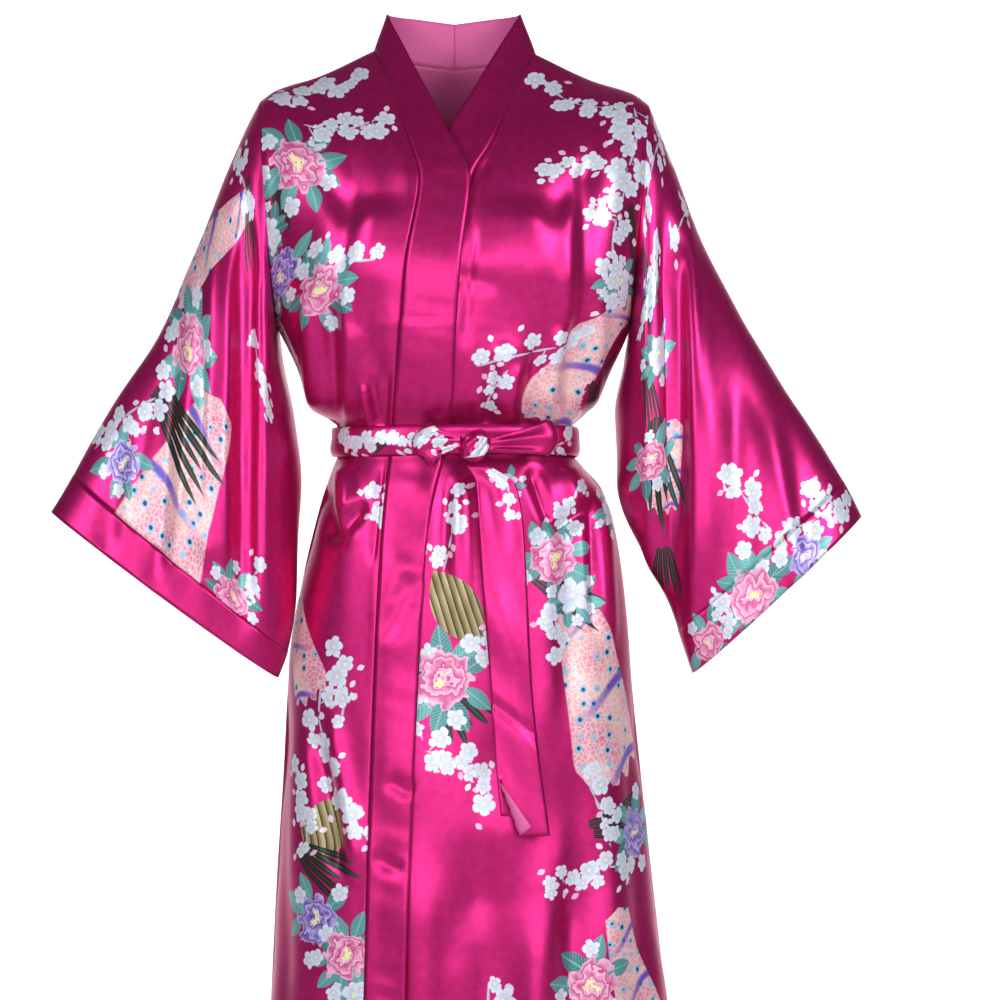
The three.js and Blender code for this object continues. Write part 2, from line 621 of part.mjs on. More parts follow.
function sashWrap() {
  const rows = upTo(STRIP_STEPS).map((share) => {
    const z = SASH.bottom + (SASH.top - SASH.bottom) * share;
    const middle = (SASH.bottom + SASH.top) / 2;
    const belly = SASH.belly * Math.sin(Math.PI * share);
    return upTo(WAIST_STEPS)
      .slice(0, -1)
      .map((turn) => {
        const angle = -Math.PI + 2 * Math.PI * turn;
        return bodyPoint(angle, middle, SASH.lift + belly).setZ(z);
      });
  });
  return clothGrid("sash_wrap", rows, SASH.wall, true, bodyAxis);
}

function sashFront(x, z, lift) {
  return bodyPoint(frontAngle(x, z), z, lift).y;
}

const knotY = () =>
  sashFront(KNOT.x, (SASH.top + SASH.bottom) / 2, SASH.lift + SASH.wall) - KNOT.halfDepth - KNOT.gap;

function knotMesh() {
  const geometry = new THREE.SphereGeometry(1, KNOT_STEPS.around, KNOT_STEPS.up);
  const position = geometry.getAttribute("position");
  for (let i = 0; i < position.count; i += 1) {
    const x = position.getX(i);
    const y = position.getY(i);
    const z = position.getZ(i);
    const offGroove = (x - KNOT_GROOVE.slant * y) / KNOT_GROOVE.width;
    const groove = 1 - KNOT_GROOVE.depth * Math.exp(-(offGroove ** 2)) * Math.max(0, z);
    position.setXYZ(
      i,
      KNOT.x + KNOT.halfWidth * x * (1 - KNOT.taper * y),
      knotY() - KNOT.halfDepth * z * groove,
      KNOT.z + KNOT.halfHeight * y * groove,
    );
  }
  return namedMesh("sash_knot", geometry, SATIN_DEEP);
}

function bowLoop(loop) {
  const y = knotY();
  const rows = upTo(LOOP_STEPS).map((share) => {
    const out = Math.sin(Math.PI * share) ** BOW.fullness;
    const half = loop.narrow + (loop.wide - loop.narrow) * Math.sin(Math.PI * share);
    const centre = new THREE.Vector3(
      loop.start + loop.reach * out,
      y - BOW.lean * Math.cos(Math.PI * share) - loop.depth * Math.sin(2 * Math.PI * share),
      loop.z + loop.rise * out,
    );
    return upTo(STRIP_STEPS).map((across) => centre.clone().setZ(centre.z + half * (2 * across - 1)));
  });
  const inside = (point) => new THREE.Vector3(loop.start + loop.reach / 2, y, point.z);
  return clothGrid(loop.name, rows, PANEL_WALL, false, inside);
}

function sashEnd(end) {
  const top = SASH_END_ROWS[0].z;
  const rows = upTo(end.steps).map((share) => {
    const z = end.bottom + (top - end.bottom) * share;
    const rowsDown = [...SASH_END_ROWS].reverse();
    const left = tableAt(rowsDown, "z", "left", z);
    const right = tableAt(rowsDown, "z", "right", z);
    const fallen = smooth((top - z) / SASH_END_FALL);
    return upTo(STRIP_STEPS).map((across) => {
      const x = left + (right - left) * across;
      const underKnot = knotY() + end.behindKnot;
      const y = underKnot + (sashFront(x, z, end.lift) - underKnot) * fallen;
      return new THREE.Vector3(x, y, z);
    });
  });
  return clothGrid(end.name, rows, PANEL_WALL, false, bodyAxis);
}

const fronts = { right: frontPanel(RIGHT), left: frontPanel(LEFT) };
const bands = { right: neckband(RIGHT), left: neckband(LEFT) };
const sleeves = {
  right: sleeveTube(RIGHT, "sleeve", 0, CUFF_START, SLEEVE_STEPS, PANEL_WALL),
  left: sleeveTube(LEFT, "sleeve", 0, CUFF_START, SLEEVE_STEPS, PANEL_WALL),
};
const cuffs = {
  right: sleeveTube(RIGHT, "cuff_band", CUFF_START, 1, CUFF_STEPS, BAND_WALL),
  left: sleeveTube(LEFT, "cuff_band", CUFF_START, 1, CUFF_STEPS, BAND_WALL),
};
const back = backPanel();

const lowerRows = BODY_ROWS.length - 1;
const topRow = lowerRows + YOKE_STEPS;
const halfColumns = BACK_NECK_STEPS + SHOULDER_STEPS;
for (const half of [RIGHT, LEFT]) {
  const front = fronts[half.name];
  const band = bands[half.name];
  const sleeve = sleeves[half.name];
  const isRight = half.side < 0;
  // Side seam, shoulder seam and neckband seam
  sew(front, edgeOf(front, "end", 0, lowerRows), back, edgeOf(back, isRight ? "start" : "end", 0, lowerRows));
  const backTop = edgeOf(back, "top");
  const fromCentre = isRight ? backTop.slice(0, halfColumns + 1).reverse() : backTop.slice(halfColumns);
  sew(front, edgeOf(front, "top"), back, fromCentre.slice(BACK_NECK_STEPS));
  sew(front, edgeOf(front, "start"), band, edgeOf(band, "start", 0, topRow));
  sew(band, edgeOf(band, "start", topRow), back, fromCentre.slice(0, BACK_NECK_STEPS + 1).reverse());
  // Armhole: the sleeve's ring runs from the shoulder tip down the front, under the arm and up the back
  const ring = edgeOf(sleeve, "bottom");
  const frontRing = ring.slice(0, YOKE_STEPS + 1).reverse();
  const backRing = [...ring.slice(YOKE_STEPS), ring[0]];
  sew(front, edgeOf(front, "end", lowerRows), sleeve, frontRing, "armhole");
  const backSide = edgeOf(back, isRight ? "start" : "end", lowerRows);
  sew(back, backSide, sleeve, backRing, "armhole");
  sew(sleeve, edgeOf(sleeve, "top"), cuffs[half.name], edgeOf(cuffs[half.name], "bottom"));
}
sew(bands.right, edgeOf(bands.right, "top"), bands.left, edgeOf(bands.left, "top"));
shareWallDirections();

// Seams at the waist, under the sash, at the centre back, at the shoulders of the neckband and
// along the top fold and the underarm of the sleeves
const waistRow = BODY_ROWS.findIndex(({ z }) => z === WAIST_SEAM_Z);
const backColumns = { right: [0, halfColumns], left: [halfColumns, 2 * halfColumns] };
const backNeckRow = topRow + BACK_NECK_STEPS;

const robe = new THREE.Group();
drawIn(back);
for (const name of ["right", "left"]) {
  drawIn(fronts[name]);
  drawIn(bands[name]);
  drawIn(sleeves[name]);
  const skirt = [0, waistRow];
  const bodice = [waistRow, topRow];
  const panels = [
    cutOf(back, `${name}_back_skirt`, skirt, backColumns[name]),
    cutOf(back, `${name}_back_bodice`, bodice, backColumns[name]),
    cutOf(fronts[name], `${name}_front_skirt`, skirt),
    cutOf(fronts[name], `${name}_front_bodice`, bodice),
  ];
  const strips = [
    cutOf(bands[name], `${name}_neckband_skirt`, skirt),
    cutOf(bands[name], `${name}_neckband_front`, bodice),
    cutOf(bands[name], `${name}_neckband_back`, [topRow, backNeckRow]),
  ];
  const sleeveRows = [0, SLEEVE_STEPS];
  panels.push(
    cutOf(sleeves[name], `${name}_sleeve_front`, sleeveRows, [0, YOKE_STEPS]),
    cutOf(sleeves[name], `${name}_sleeve_back`, sleeveRows, [YOKE_STEPS, 2 * YOKE_STEPS]),
  );
  for (const panel of panels) robe.add(clothMesh(panel, SATIN));
  for (const strip of strips) robe.add(clothMesh(strip, SATIN_DEEP));
  robe.add(clothMesh(cuffs[name], SATIN_DEEP));
}
robe.add(clothMesh(sashWrap(), SATIN_DEEP));
robe.add(knotMesh());
for (const loop of BOW_LOOPS) robe.add(clothMesh(bowLoop(loop), SATIN));
for (const end of SASH_ENDS) robe.add(clothMesh(sashEnd(end), SATIN));

export default robe;
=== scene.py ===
"""Satin kimono robe in its worn form: printed panels, neckband, cuffs and a sash tied in a bow.

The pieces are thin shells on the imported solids' forms. Garment sizes are in millimetres and
become metres only where a mesh is made. The front faces -Y and the wearer's left is +X.
"""

from __future__ import annotations

import logging
import math
import random
from dataclasses import dataclass, field, replace
from enum import Enum, IntEnum
from functools import partial
from typing import Any

import bpy
import numpy as np
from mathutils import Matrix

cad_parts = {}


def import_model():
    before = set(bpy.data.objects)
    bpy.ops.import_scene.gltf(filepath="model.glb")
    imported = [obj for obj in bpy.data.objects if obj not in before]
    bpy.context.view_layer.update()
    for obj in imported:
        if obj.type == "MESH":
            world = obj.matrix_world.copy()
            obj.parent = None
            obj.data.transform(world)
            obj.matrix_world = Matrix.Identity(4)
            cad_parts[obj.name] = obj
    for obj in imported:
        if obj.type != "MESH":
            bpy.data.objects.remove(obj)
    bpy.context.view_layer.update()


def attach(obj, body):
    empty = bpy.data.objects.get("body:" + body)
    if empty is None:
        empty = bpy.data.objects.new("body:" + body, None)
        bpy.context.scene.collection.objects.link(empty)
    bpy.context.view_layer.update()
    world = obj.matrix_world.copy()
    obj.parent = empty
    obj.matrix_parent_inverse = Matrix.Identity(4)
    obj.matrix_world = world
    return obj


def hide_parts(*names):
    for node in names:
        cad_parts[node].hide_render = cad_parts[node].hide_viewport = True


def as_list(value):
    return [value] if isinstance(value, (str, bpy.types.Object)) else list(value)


LOG = logging.getLogger("kimono_robe")
MM = 0.001
SEED = 41
Array = np.ndarray
Pair = tuple[float, float]
Three = tuple[float, float, float]
Four = tuple[float, float, float, float]
# Turns a size in mm into a texture's scale, whose cells are counted to the metre
PER_METRE = 1000.0
# How many ribs the wave texture makes at a scale of one
RIBS = 20
# How often an interval is halved to find an angle
HALVINGS = 30


class Slot(Enum):
    """The record's finishes."""

    PRINTED = "printed_satin"
    BAND = "band_satin"
    SASH = "sash_satin"


class Side(IntEnum):
    """The wearer's right and left, as the sign of x."""

    RIGHT = -1
    LEFT = 1


def smooth(value: Array | float) -> Array:
    """Rises softly from 0 to 1 as the value does."""
    t = np.clip(value, 0.0, 1.0)
    return t * t * (3.0 - 2.0 * t)


class Table:
    """Rows of named columns, read between its rows with a smooth curve that never overshoots."""

    def __init__(self, names: str, *rows: tuple[float, ...]) -> None:
        """Keeps the rows as columns.

        Args:
            names: The column names, the key column first.
            rows: One tuple for each row, by rising key.
        """
        self.key = names.split()[0]
        self.columns = dict(zip(names.split(), np.array(rows, dtype=float).T))

    def at(self, column: str, where: Array | float) -> Array:
        """Reads a column.

        Args:
            column: The column's name.
            where: Key values to read it at.

        Returns:
            The column's values there.
        """
        xs = self.columns[self.key]
        ys = self.columns[column]
        steps = np.diff(xs)
        slopes = np.diff(ys) / steps
        product = slopes[:-1] * slopes[1:]
        total = np.where(product > 0, slopes[:-1] + slopes[1:], 1.0)
        middle = np.where(product > 0, 2 * product / total, 0.0)
        tangents = np.concatenate([slopes[:1], middle, slopes[-1:]])
        x = np.clip(where, xs[0], xs[-1])
        i = np.clip(np.searchsorted(xs, x, side="right") - 1, 0, len(steps) - 1)
        t = (x - xs[i]) / steps[i]
        start = (1 + 2 * t) * (1 - t) ** 2
        bend = t * (1 - t) ** 2 * tangents[i] + t * t * (t - 1) * tangents[i + 1]
        return start * ys[i] + (1 - start) * ys[i + 1] + steps[i] * bend

    def keys(self) -> Array:
        """The key column."""
        return self.columns[self.key]


class Folds:
    """Folds as seen from the front: straight ridges and troughs with soft ends."""

    FADE = 0.25

    def __init__(self, *rows: tuple[float, ...]) -> None:
        """Keeps the folds.

        Args:
            rows: Start x and z, end x and z, width and depth of each, a ridge's depth positive.
        """
        self.rows = rows

    def depth(self, x: Array, z: Array) -> Array:
        """How far the folds push the cloth out.

        Args:
            x: Threes across, in mm.
            z: Threes up, in mm.

        Returns:
            The push at each place, in mm.
        """
        total = np.zeros(np.broadcast(x, z).shape)
        for x0, z0, x1, z1, width, depth in self.rows:
            run_x, run_z = x1 - x0, z1 - z0
            length = math.hypot(run_x, run_z)
            along = ((x - x0) * run_x + (z - z0) * run_z) / length**2
            across = ((x - x0) * run_z - (z - z0) * run_x) / length
            ends = smooth(along / self.FADE) * smooth((1 - along) / self.FADE)
            total += depth * ends * np.exp(-((across / width) ** 2))
        return total


# Body sections from hem to armpit: half width on each side, depth in front and behind
BODY = Table(
    "z right left front back",
    (-1350, 214, 262, 152, 158),
    (-1190, 206, 248, 144, 150),
    (-1026, 200, 232, 136, 142),
    (-900, 194, 218, 128, 136),
    (-790, 187, 206, 120, 132),
    (-680, 181, 195, 114, 130),
    (-615, 173, 190, 112, 128),
    (-560, 163, 184, 108, 120),
    (-510, 151, 174, 102, 106),
    (-475, 141, 163, 97, 95),
    (-448, 130, 140, 90, 85),
    (-436, 126, 130, 87, 82),
    (-406, 127, 130, 88, 83),
    (-393, 143, 143, 97, 92),
    (-376, 158, 158, 108, 101),
    (-340, 172, 173, 118, 106),
    (-300, 192, 192, 124, 108),
)

# Front edges: where the band is sewn on, and its free edge
RIGHT_EDGE = Table(
    "z seam free",
    (-1350, -98, -52),
    (-1026, -92, -48),
    (-705, -83, -36),
    (-529, -75, -26),
    (-391, -62, 0),
    (-300, -55, 5),
)
LEFT_EDGE = Table(
    "z seam free",
    (-1350, -82, -130),
    (-1026, -76, -124),
    (-705, -66, -114),
    (-529, -58, -104),
    (-391, -42, -88),
    (-300, -22, -74),
)

# The neckband from armpit (0) over the shoulder (1) to the centre back (2)
RIGHT_NECK = Table(
    "level seam_x seam_y seam_z free_x free_y free_z",
    (0.0, -55, -119, -300, 5, -122, -300),
    (0.22, -49, -124, -231, 10, -127, -233),
    (0.45, -35, -112, -145, 20, -112, -142),
    (0.62, -47, -93, -100, -5, -92, -89),
    (0.78, -62, -64, -57, -27, -66, -44),
    (0.9, -75, -34, -20, -52, -34, 6),
    (1.0, -87, 0, 8, -73, 2, 49),
    (1.5, -55, 50, 2, -48, 47, 51),
    (2.0, 0, 68, -4, 0, 62, 47),
)
LEFT_NECK = Table(
    "level seam_x seam_y seam_z free_x free_y free_z",
    (0.0, -22, -124, -300, -74, -117, -300),
    (0.22, 2, -127, -231, -60, -122, -228),
    (0.45, 22, -110, -140, -30, -109, -134),
    (0.62, 44, -93, -100, -5, -91, -89),
    (0.78, 60, -64, -60, 22, -66, -42),
    (0.9, 73, -34, -25, 48, -34, 5),
    (1.0, 90, 0, 4, 73, 2, 49),
    (1.5, 55, 50, 0, 48, 47, 51),
    (2.0, 0, 68, -4, 0, 62, 47),
)
SHOULDER = Table("share drop", (0.0, 0.0), (0.5, 0.52), (0.86, 0.78), (1.0, 1.0))
CENTRE_BACK = Table(
    "level y z", (0.0, 108, -300), (0.3, 113, -212), (0.6, 108, -122), (0.85, 88, -44), (1.0, 68, -4)
)

# Sleeves: outer fold line and underarm line, middle depth and half depth, armhole (0) to cuff (1)
RIGHT_SLEEVE = Table(
    "at top_x top_z low_x low_z middle_y depth",
    (0.0, -212, -48, -192, -300, 0, 62),
    (0.12, -236, -96, -188, -338, -3, 65),
    (0.3, -271, -188, -174, -402, -12, 66),
    (0.5, -313, -288, -166, -478, -26, 61),
    (0.75, -373, -394, -170, -588, -44, 54),
    (0.9, -411, -459, -180, -648, -52, 50),
    (1.0, -433, -499, -190, -677, -56, 48),
)
LEFT_SLEEVE = Table(
    "at top_x top_z low_x low_z middle_y depth",
    (0.0, 214, -52, 192, -300, 0, 62),
    (0.12, 239, -112, 189, -336, -3, 65),
    (0.3, 272, -205, 178, -394, -12, 66),
    (0.5, 317, -294, 178, -462, -26, 61),
    (0.75, 383, -400, 212, -556, -44, 54),
    (0.9, 422, -465, 244, -626, -52, 50),
    (1.0, 441, -504, 260, -672, -56, 48),
)
SASH_END = Table(
    "z left right",
    (-841, 54, 104),
    (-760, 46, 93),
    (-682, 41, 85),
    (-583, 33, 80),
    (-514, 29, 76),
    (-470, 26, 68),
    (-448.4, 15, 38),
)

# Shares up the yoke and across a panel where the overlap's lift has faded out
LIFT_FADE = (0.55, 0.35)
LIFT_ACROSS = 0.9
NECK_SHIFT_FADE = 0.4
# Share of the sleeve over which its folds begin, and how far its rear hangs lower at the cuff
SLEEVE_FOLDS_FROM = 0.15
SLEEVE_SAG = 12.0
# Share of the back's width that the neck takes up
NECK_SHARE = 4 / 14

# Large folds, the same as the solids have
FRONT_FOLDS = Folds(
    (-149, -700, -112, -900, 13, -6),
    (-128, -700, -90, -900, 13, 4),
    (-112, -440, -116, -540, 12, 7),
    (-132, -438, -134, -560, 9, -5),
    (146, -440, 156, -640, 12, 6),
    (122, -450, 132, -700, 12, -5),
    (100, -445, 104, -760, 12, 4),
    (168, -760, 184, -1500, 16, 7),
    (134, -720, 142, -1500, 16, -7),
    (84, -900, 92, -1500, 18, 5),
    (10, -980, 12, -1500, 18, -5),
    (-150, -1000, -150, -1500, 15, 5),
    (150, -250, 128, -400, 12, -7),
    (128, -235, 106, -400, 12, 5),
    (96, -300, 84, -402, 10, -4),
    (58, -310, 54, -402, 10, 4),
    (-80, -320, -76, -402, 10, -4),
    (-104, -290, -98, -402, 11, 5),
    (-136, -260, -122, -402, 12, -6),
    (84, -160, 84, -280, 42, 9),
    (-84, -160, -84, -280, 36, 9),
    (-196, -60, -188, -240, 12, -6),
    (196, -60, 188, -240, 12, -6),
)
BACK_FOLDS = Folds(
    (-130, -290, -104, -402, 12, -5),
    (-84, -300, -70, -402, 11, 5),
    (-42, -310, -36, -402, 10, -4),
    (4, -290, 2, -402, 11, 5),
    (46, -310, 38, -402, 10, -5),
    (90, -290, 74, -402, 11, 4),
    (134, -280, 108, -402, 12, -5),
    (-88, -445, -146, -1500, 17, 7),
    (-56, -445, -96, -1500, 16, -7),
    (-24, -445, -44, -1500, 16, 6),
    (12, -445, 10, -1500, 17, -6),
    (44, -445, 70, -1500, 16, 7),
    (78, -445, 124, -1500, 17, -6),
    (106, -445, 180, -1500, 17, 6),
    (0, -90, 0, -300, 70, -5),
    (-192, -60, -176, -260, 13, -5),
    (192, -60, 176, -260, 13, -5),
)
SLEEVE_FOLDS = Folds(
    (-219, -150, -217, -640, 11, -9),
    (-243, -180, -244, -640, 14, 6),
    (-300, -330, -330, -600, 14, -5),
    (-278, -300, -296, -600, 14, 5),
    (244, -160, 245, -660, 11, -10),
    (268, -200, 272, -660, 14, 7),
    (300, -330, 318, -640, 14, -5),
    (340, -360, 372, -600, 15, 5),
)


def points_of(x: Array, y: Array, z: Array) -> Array:
    """Stacks coordinates of any matching shapes into points."""
    return np.stack(np.broadcast_arrays(x, y, z), axis=-1).astype(float)


def stretched(inner: Array, outer: Array, low: Array, high: Array, across: Array, up: Array) -> Array:
    """Stretches a surface between four edge curves.

    Args:
        inner: Points up the edge where across is 0.
        outer: Points up the edge where across is 1.
        low: Points along the edge where up is 0.
        high: Points along the edge where up is 1.
        across: Shares from 0 to 1 of the columns.
        up: Shares from 0 to 1 of the rows.

    Returns:
        A grid of points, a row for each value of up.
    """
    a = across[None, :, None]
    u = up[:, None, None]
    ruled = (1 - a) * inner[:, None] + a * outer[:, None] + (1 - u) * low[None] + u * high[None]
    corners = (1 - u) * ((1 - a) * low[0] + a * low[-1]) + u * ((1 - a) * high[0] + a * high[-1])
    return ruled - corners


def grid_normals(grid: Array, wraps: bool = False) -> Array:
    """Unit directions square to a grid of points.

    Args:
        grid: Rows of points.
        wraps: True where each row closes on itself.

    Returns:
        One direction for each point.
    """
    if wraps:
        across = np.roll(grid, -1, axis=1) - np.roll(grid, 1, axis=1)
    else:
        across = np.gradient(grid, axis=1)
    normals = np.cross(across, np.gradient(grid, axis=0))
    return normals / np.maximum(np.linalg.norm(normals, axis=-1, keepdims=True), 1e-9)


@dataclass(frozen=True)
class Body:
    """The worn form that all panels lie on."""

    armpit_z: float = -300.0
    fullness: float = 0.05

    def points(self, angle: Array, z: Array, lift: Array | float = 0.0) -> Array:
        """Points round the body below the armpits.

        Args:
            angle: 0 at the centre front, +-pi/2 at the sides and pi at the centre back.
            z: Heights in mm.
            lift: How far out of the section they lie.

        Returns:
            The points, in mm.
        """
        sine, cosine = np.sin(angle), np.cos(angle)
        full = 1 + self.fullness * np.sin(2 * angle) ** 2
        half_width = np.where(sine < 0, BODY.at("right", z), BODY.at("left", z)) * full
        depth = np.where(cosine > 0, BODY.at("front", z), BODY.at("back", z)) * full
        x = half_width * sine
        folds = np.where(cosine > 0, FRONT_FOLDS.depth(x, z), BACK_FOLDS.depth(x, z))
        out = lift + folds * np.abs(cosine)
        return points_of((half_width + out) * sine, -(depth + out) * cosine, z)

    def front_angle(self, x: Array, z: Array) -> Array:
        """The angle at which the front has this x, found by halving."""
        x, z = np.broadcast_arrays(np.asarray(x, float), np.asarray(z, float))
        low = np.full(x.shape, -math.pi / 2)
        high = np.full(x.shape, math.pi / 2)
        for _ in range(HALVINGS):
            middle = (low + high) / 2
            inside = self.points(middle, z)[..., 0] < x
            low = np.where(inside, middle, low)
            high = np.where(inside, high, middle)
        return (low + high) / 2


@dataclass(frozen=True)
class Half:
    """One half of the garment: its side, overlap lift and tables."""

    side: Side
    lift: float
    edge: Table
    neck: Table
    sleeve: Table
    body: Body = Body()

    @property
    def name(self) -> str:
        """The word that the half's pieces begin with."""
        return self.side.name.lower()

    @property
    def side_angle(self) -> float:
        """The body angle of this half's side seam."""
        return self.side * math.pi / 2

    def neck_points(self, edge: str, level: Array) -> Array:
        """Points of the neckband's table along one edge."""
        return points_of(*(self.neck.at(f"{edge}_{axis}", level) for axis in "xyz"))

    def neck_edge(self, edge: str, level: Array) -> Array:
        """The band's edge above the armpit, joined to the body section and lifted for the overlap."""
        body_x = self.edge.at(edge, self.body.armpit_z)
        start = self.body.points(self.body.front_angle(body_x, self.body.armpit_z), self.body.armpit_z)
        shift = start - self.neck_points(edge, np.zeros(1))[0]
        points = self.neck_points(edge, level) + shift * (1 - smooth(level / NECK_SHIFT_FADE))[:, None]
        points[:, 1] -= self.lift * (1 - smooth((level - LIFT_FADE[0]) / LIFT_FADE[1]))
        return points

    def sleeve_points(self, at: Array, turn: Array) -> Array:
        """Points of the sleeve: turn 0 is the outer fold, pi/2 the front, pi the underarm."""
        up_down = (1 + np.cos(turn)) / 2
        in_out = np.sin(turn)
        read = partial(self.sleeve.at, where=at)
        x = read("low_x") + (read("top_x") - read("low_x")) * up_down
        z = read("low_z") + (read("top_z") - read("low_z")) * up_down
        folds = SLEEVE_FOLDS.depth(x, z) * np.abs(in_out) * smooth(at / SLEEVE_FOLDS_FROM)
        drop = SLEEVE_SAG * np.maximum(0, -in_out) * at * at
        return points_of(x, read("middle_y") - (read("depth") + folds) * in_out, z - drop)

    def shoulder_points(self, share: Array) -> Array:
        """Points of the shoulder seam, neck to tip."""
        neck = self.neck_points("seam", np.ones(1))[0]
        tip = self.sleeve_points(np.zeros(1), np.zeros(1))[0]
        drop = SHOULDER.at("drop", share)
        return points_of(neck[0] + (tip[0] - neck[0]) * share, 0.0, neck[2] + (tip[2] - neck[2]) * drop)

    def panel_points(self, across: Array, z: Array) -> Array:
        """Front panel points below the armpit, from the band seam to the side seam."""
        start = self.body.front_angle(self.edge.at("seam", z), z)[:, None]
        angle = start + (self.side_angle - start) * across
        return self.body.points(angle, z[:, None], self.lift * (1 - smooth(across / LIFT_ACROSS)))

    def front_yoke(self, across: Array, level: Array) -> Array:
        """Front panel points from armpit to shoulder."""
        grid = stretched(
            self.neck_edge("seam", level),
            self.sleeve_points(np.zeros(level.shape), math.pi * (1 - level)),
            self.panel_points(across, np.array([self.body.armpit_z]))[0],
            self.shoulder_points(across),
            across,
            level,
        )
        share = np.sin(math.pi * level[:, None]) ** 2 * (1 - across[None] ** 4)
        grid[..., 1] -= FRONT_FOLDS.depth(grid[..., 0], grid[..., 2]) * share
        return grid

    def back_yoke(self, across: Array, level: Array, neck_share: float = NECK_SHARE) -> Array:
        """Back panel points from armpit to neck and shoulder."""
        centre = points_of(0.0, CENTRE_BACK.at("y", level), CENTRE_BACK.at("z", level))
        neck = self.neck_points("seam", 2 - np.minimum(across / neck_share, 1))
        shoulder = self.shoulder_points(np.maximum(across - neck_share, 0) / (1 - neck_share))
        top = np.where((across < neck_share)[:, None], neck, shoulder)
        grid = stretched(
            centre,
            self.sleeve_points(np.zeros(level.shape), math.pi * (1 + level)),
            self.body.points(self.side_angle * (2 - across), np.full(across.shape, self.body.armpit_z)),
            top,
            across,
            level,
        )
        share = np.sin(math.pi * level[:, None]) ** 2 * (1 - across[None] ** 4)
        grid[..., 1] += BACK_FOLDS.depth(grid[..., 0], grid[..., 2]) * share
        return grid


RIGHT_HALF = Half(Side.RIGHT, 3.0, RIGHT_EDGE, RIGHT_NECK, RIGHT_SLEEVE)
LEFT_HALF = Half(Side.LEFT, -4.0, LEFT_EDGE, LEFT_NECK, LEFT_SLEEVE)
HALVES = (RIGHT_HALF, LEFT_HALF)


class Finish:
    """What every finish shares: colours from hex and one way to add a shader node."""

    @staticmethod
    def colour(code: str) -> Four:
        """Turns an sRGB hex colour into linear light.

        Args:
            code: Six hex digits.

        Returns:
            Red, green, blue and alpha.
        """
        parts = [int(code[i : i + 2], 16) / 255 for i in (0, 2, 4)]
        linear = [c / 12.92 if c <= 0.04045 else ((c + 0.055) / 1.055) ** 2.4 for c in parts]
        return (linear[0], linear[1], linear[2], 1.0)

    @staticmethod
    def add(tree: Any, kind: str, *links: Any, out: int | str = 0, **settings: Any) -> Any:
        """Adds a node with its settings and links.

        Args:
            tree: The node tree.
            kind: The node's type without its ShaderNode prefix, or a Math node's operation.
            links: One for each input in order: a socket to link, a value to set, or None.
            out: Which output to give back.
            settings: Properties of the node, or inputs by name where it has no such property.

        Returns:
            The chosen output socket, or the node itself where it has none.
        """
        if kind.isupper():
            kind, settings = "Math", {"operation": kind}
        node = tree.nodes.new(f"ShaderNode{kind}")
        for name, value in settings.items():
            if hasattr(node, name):
                setattr(node, name, value)
        named = [(node.inputs[n.replace("_", " ")], v) for n, v in settings.items() if not hasattr(node, n)]
        for socket, value in list(zip(node.inputs, links)) + named:
            if isinstance(value, bpy.types.NodeSocket):
                tree.links.new(value, socket)
            elif value is not None:
                socket.default_value = value
        return node.outputs[out] if len(node.outputs) else node


class Bloom(IntEnum):
    """Kinds of printed flower."""

    BLOSSOM = 0
    PEONY = 1
    IRIS = 2


class Frond(IntEnum):
    """Kinds of printed leaf and stroke."""

    LEAF = 0
    BUD = 1
    TWIG = 2


class Plume(IntEnum):
    """Kinds of printed plumage."""

    TRAIN = 0
    WING = 1
    FEATHERS = 2


@dataclass(frozen=True)
class Motif:
    """One printed motif: what it is, where it lies on the cloth, its size, turn and tone."""

    kind: IntEnum
    u: float
    v: float
    size: float
    turn: float = 0.0
    tone: float = 0.5
    stretch: float = 1.0

    def covers(self, u: Array, v: Array) -> Array:
        """Which squares of cloth the motif touches.

        Args:
            u: The squares' corners along the motif, 1 at its tip.
            v: The corners across it.

        Returns:
            True for each square that it touches.
        """
        if isinstance(self.kind, Bloom):
            return np.hypot(u, v).min(axis=1) < 1.0
        low_u = np.where((u.min(axis=1) < 0) & (u.max(axis=1) > 0), 0, np.abs(u).min(axis=1))
        low_v = np.where((v.min(axis=1) < 0) & (v.max(axis=1) > 0), 0, np.abs(v).min(axis=1))
        if isinstance(self.kind, Frond):
            return (low_v < 1 - low_u**2) & (low_u < 1)
        return (low_v < 1) & (low_u < 1)


# Attribute names of the print's layers, from the lowest to the topmost
PRINT_LAYERS = {
    Plume: ("plume_low", "plume_top"),
    Frond: ("frond_low", "frond_top"),
    Bloom: ("bloom_low", "bloom_top"),
}
FAR = 9.0
# A motif's code is its kind, a start that keeps it clear of the next kind, and its tone
CODE_START = 0.05
CODE_SPAN = 0.9
# How far past a motif's own size a square's middle may lie and still touch it, in mm
NEAR = 9.0
# Added to the squared distance, in mm, where a tube faces away from the camera
FAR_SIDE = 4e4
# Any direction of a motif that has no lengthwise axis, and of one that has
ANY_TURN = (0.0, 6.28)
HALF_TURN = (0.0, 3.14)


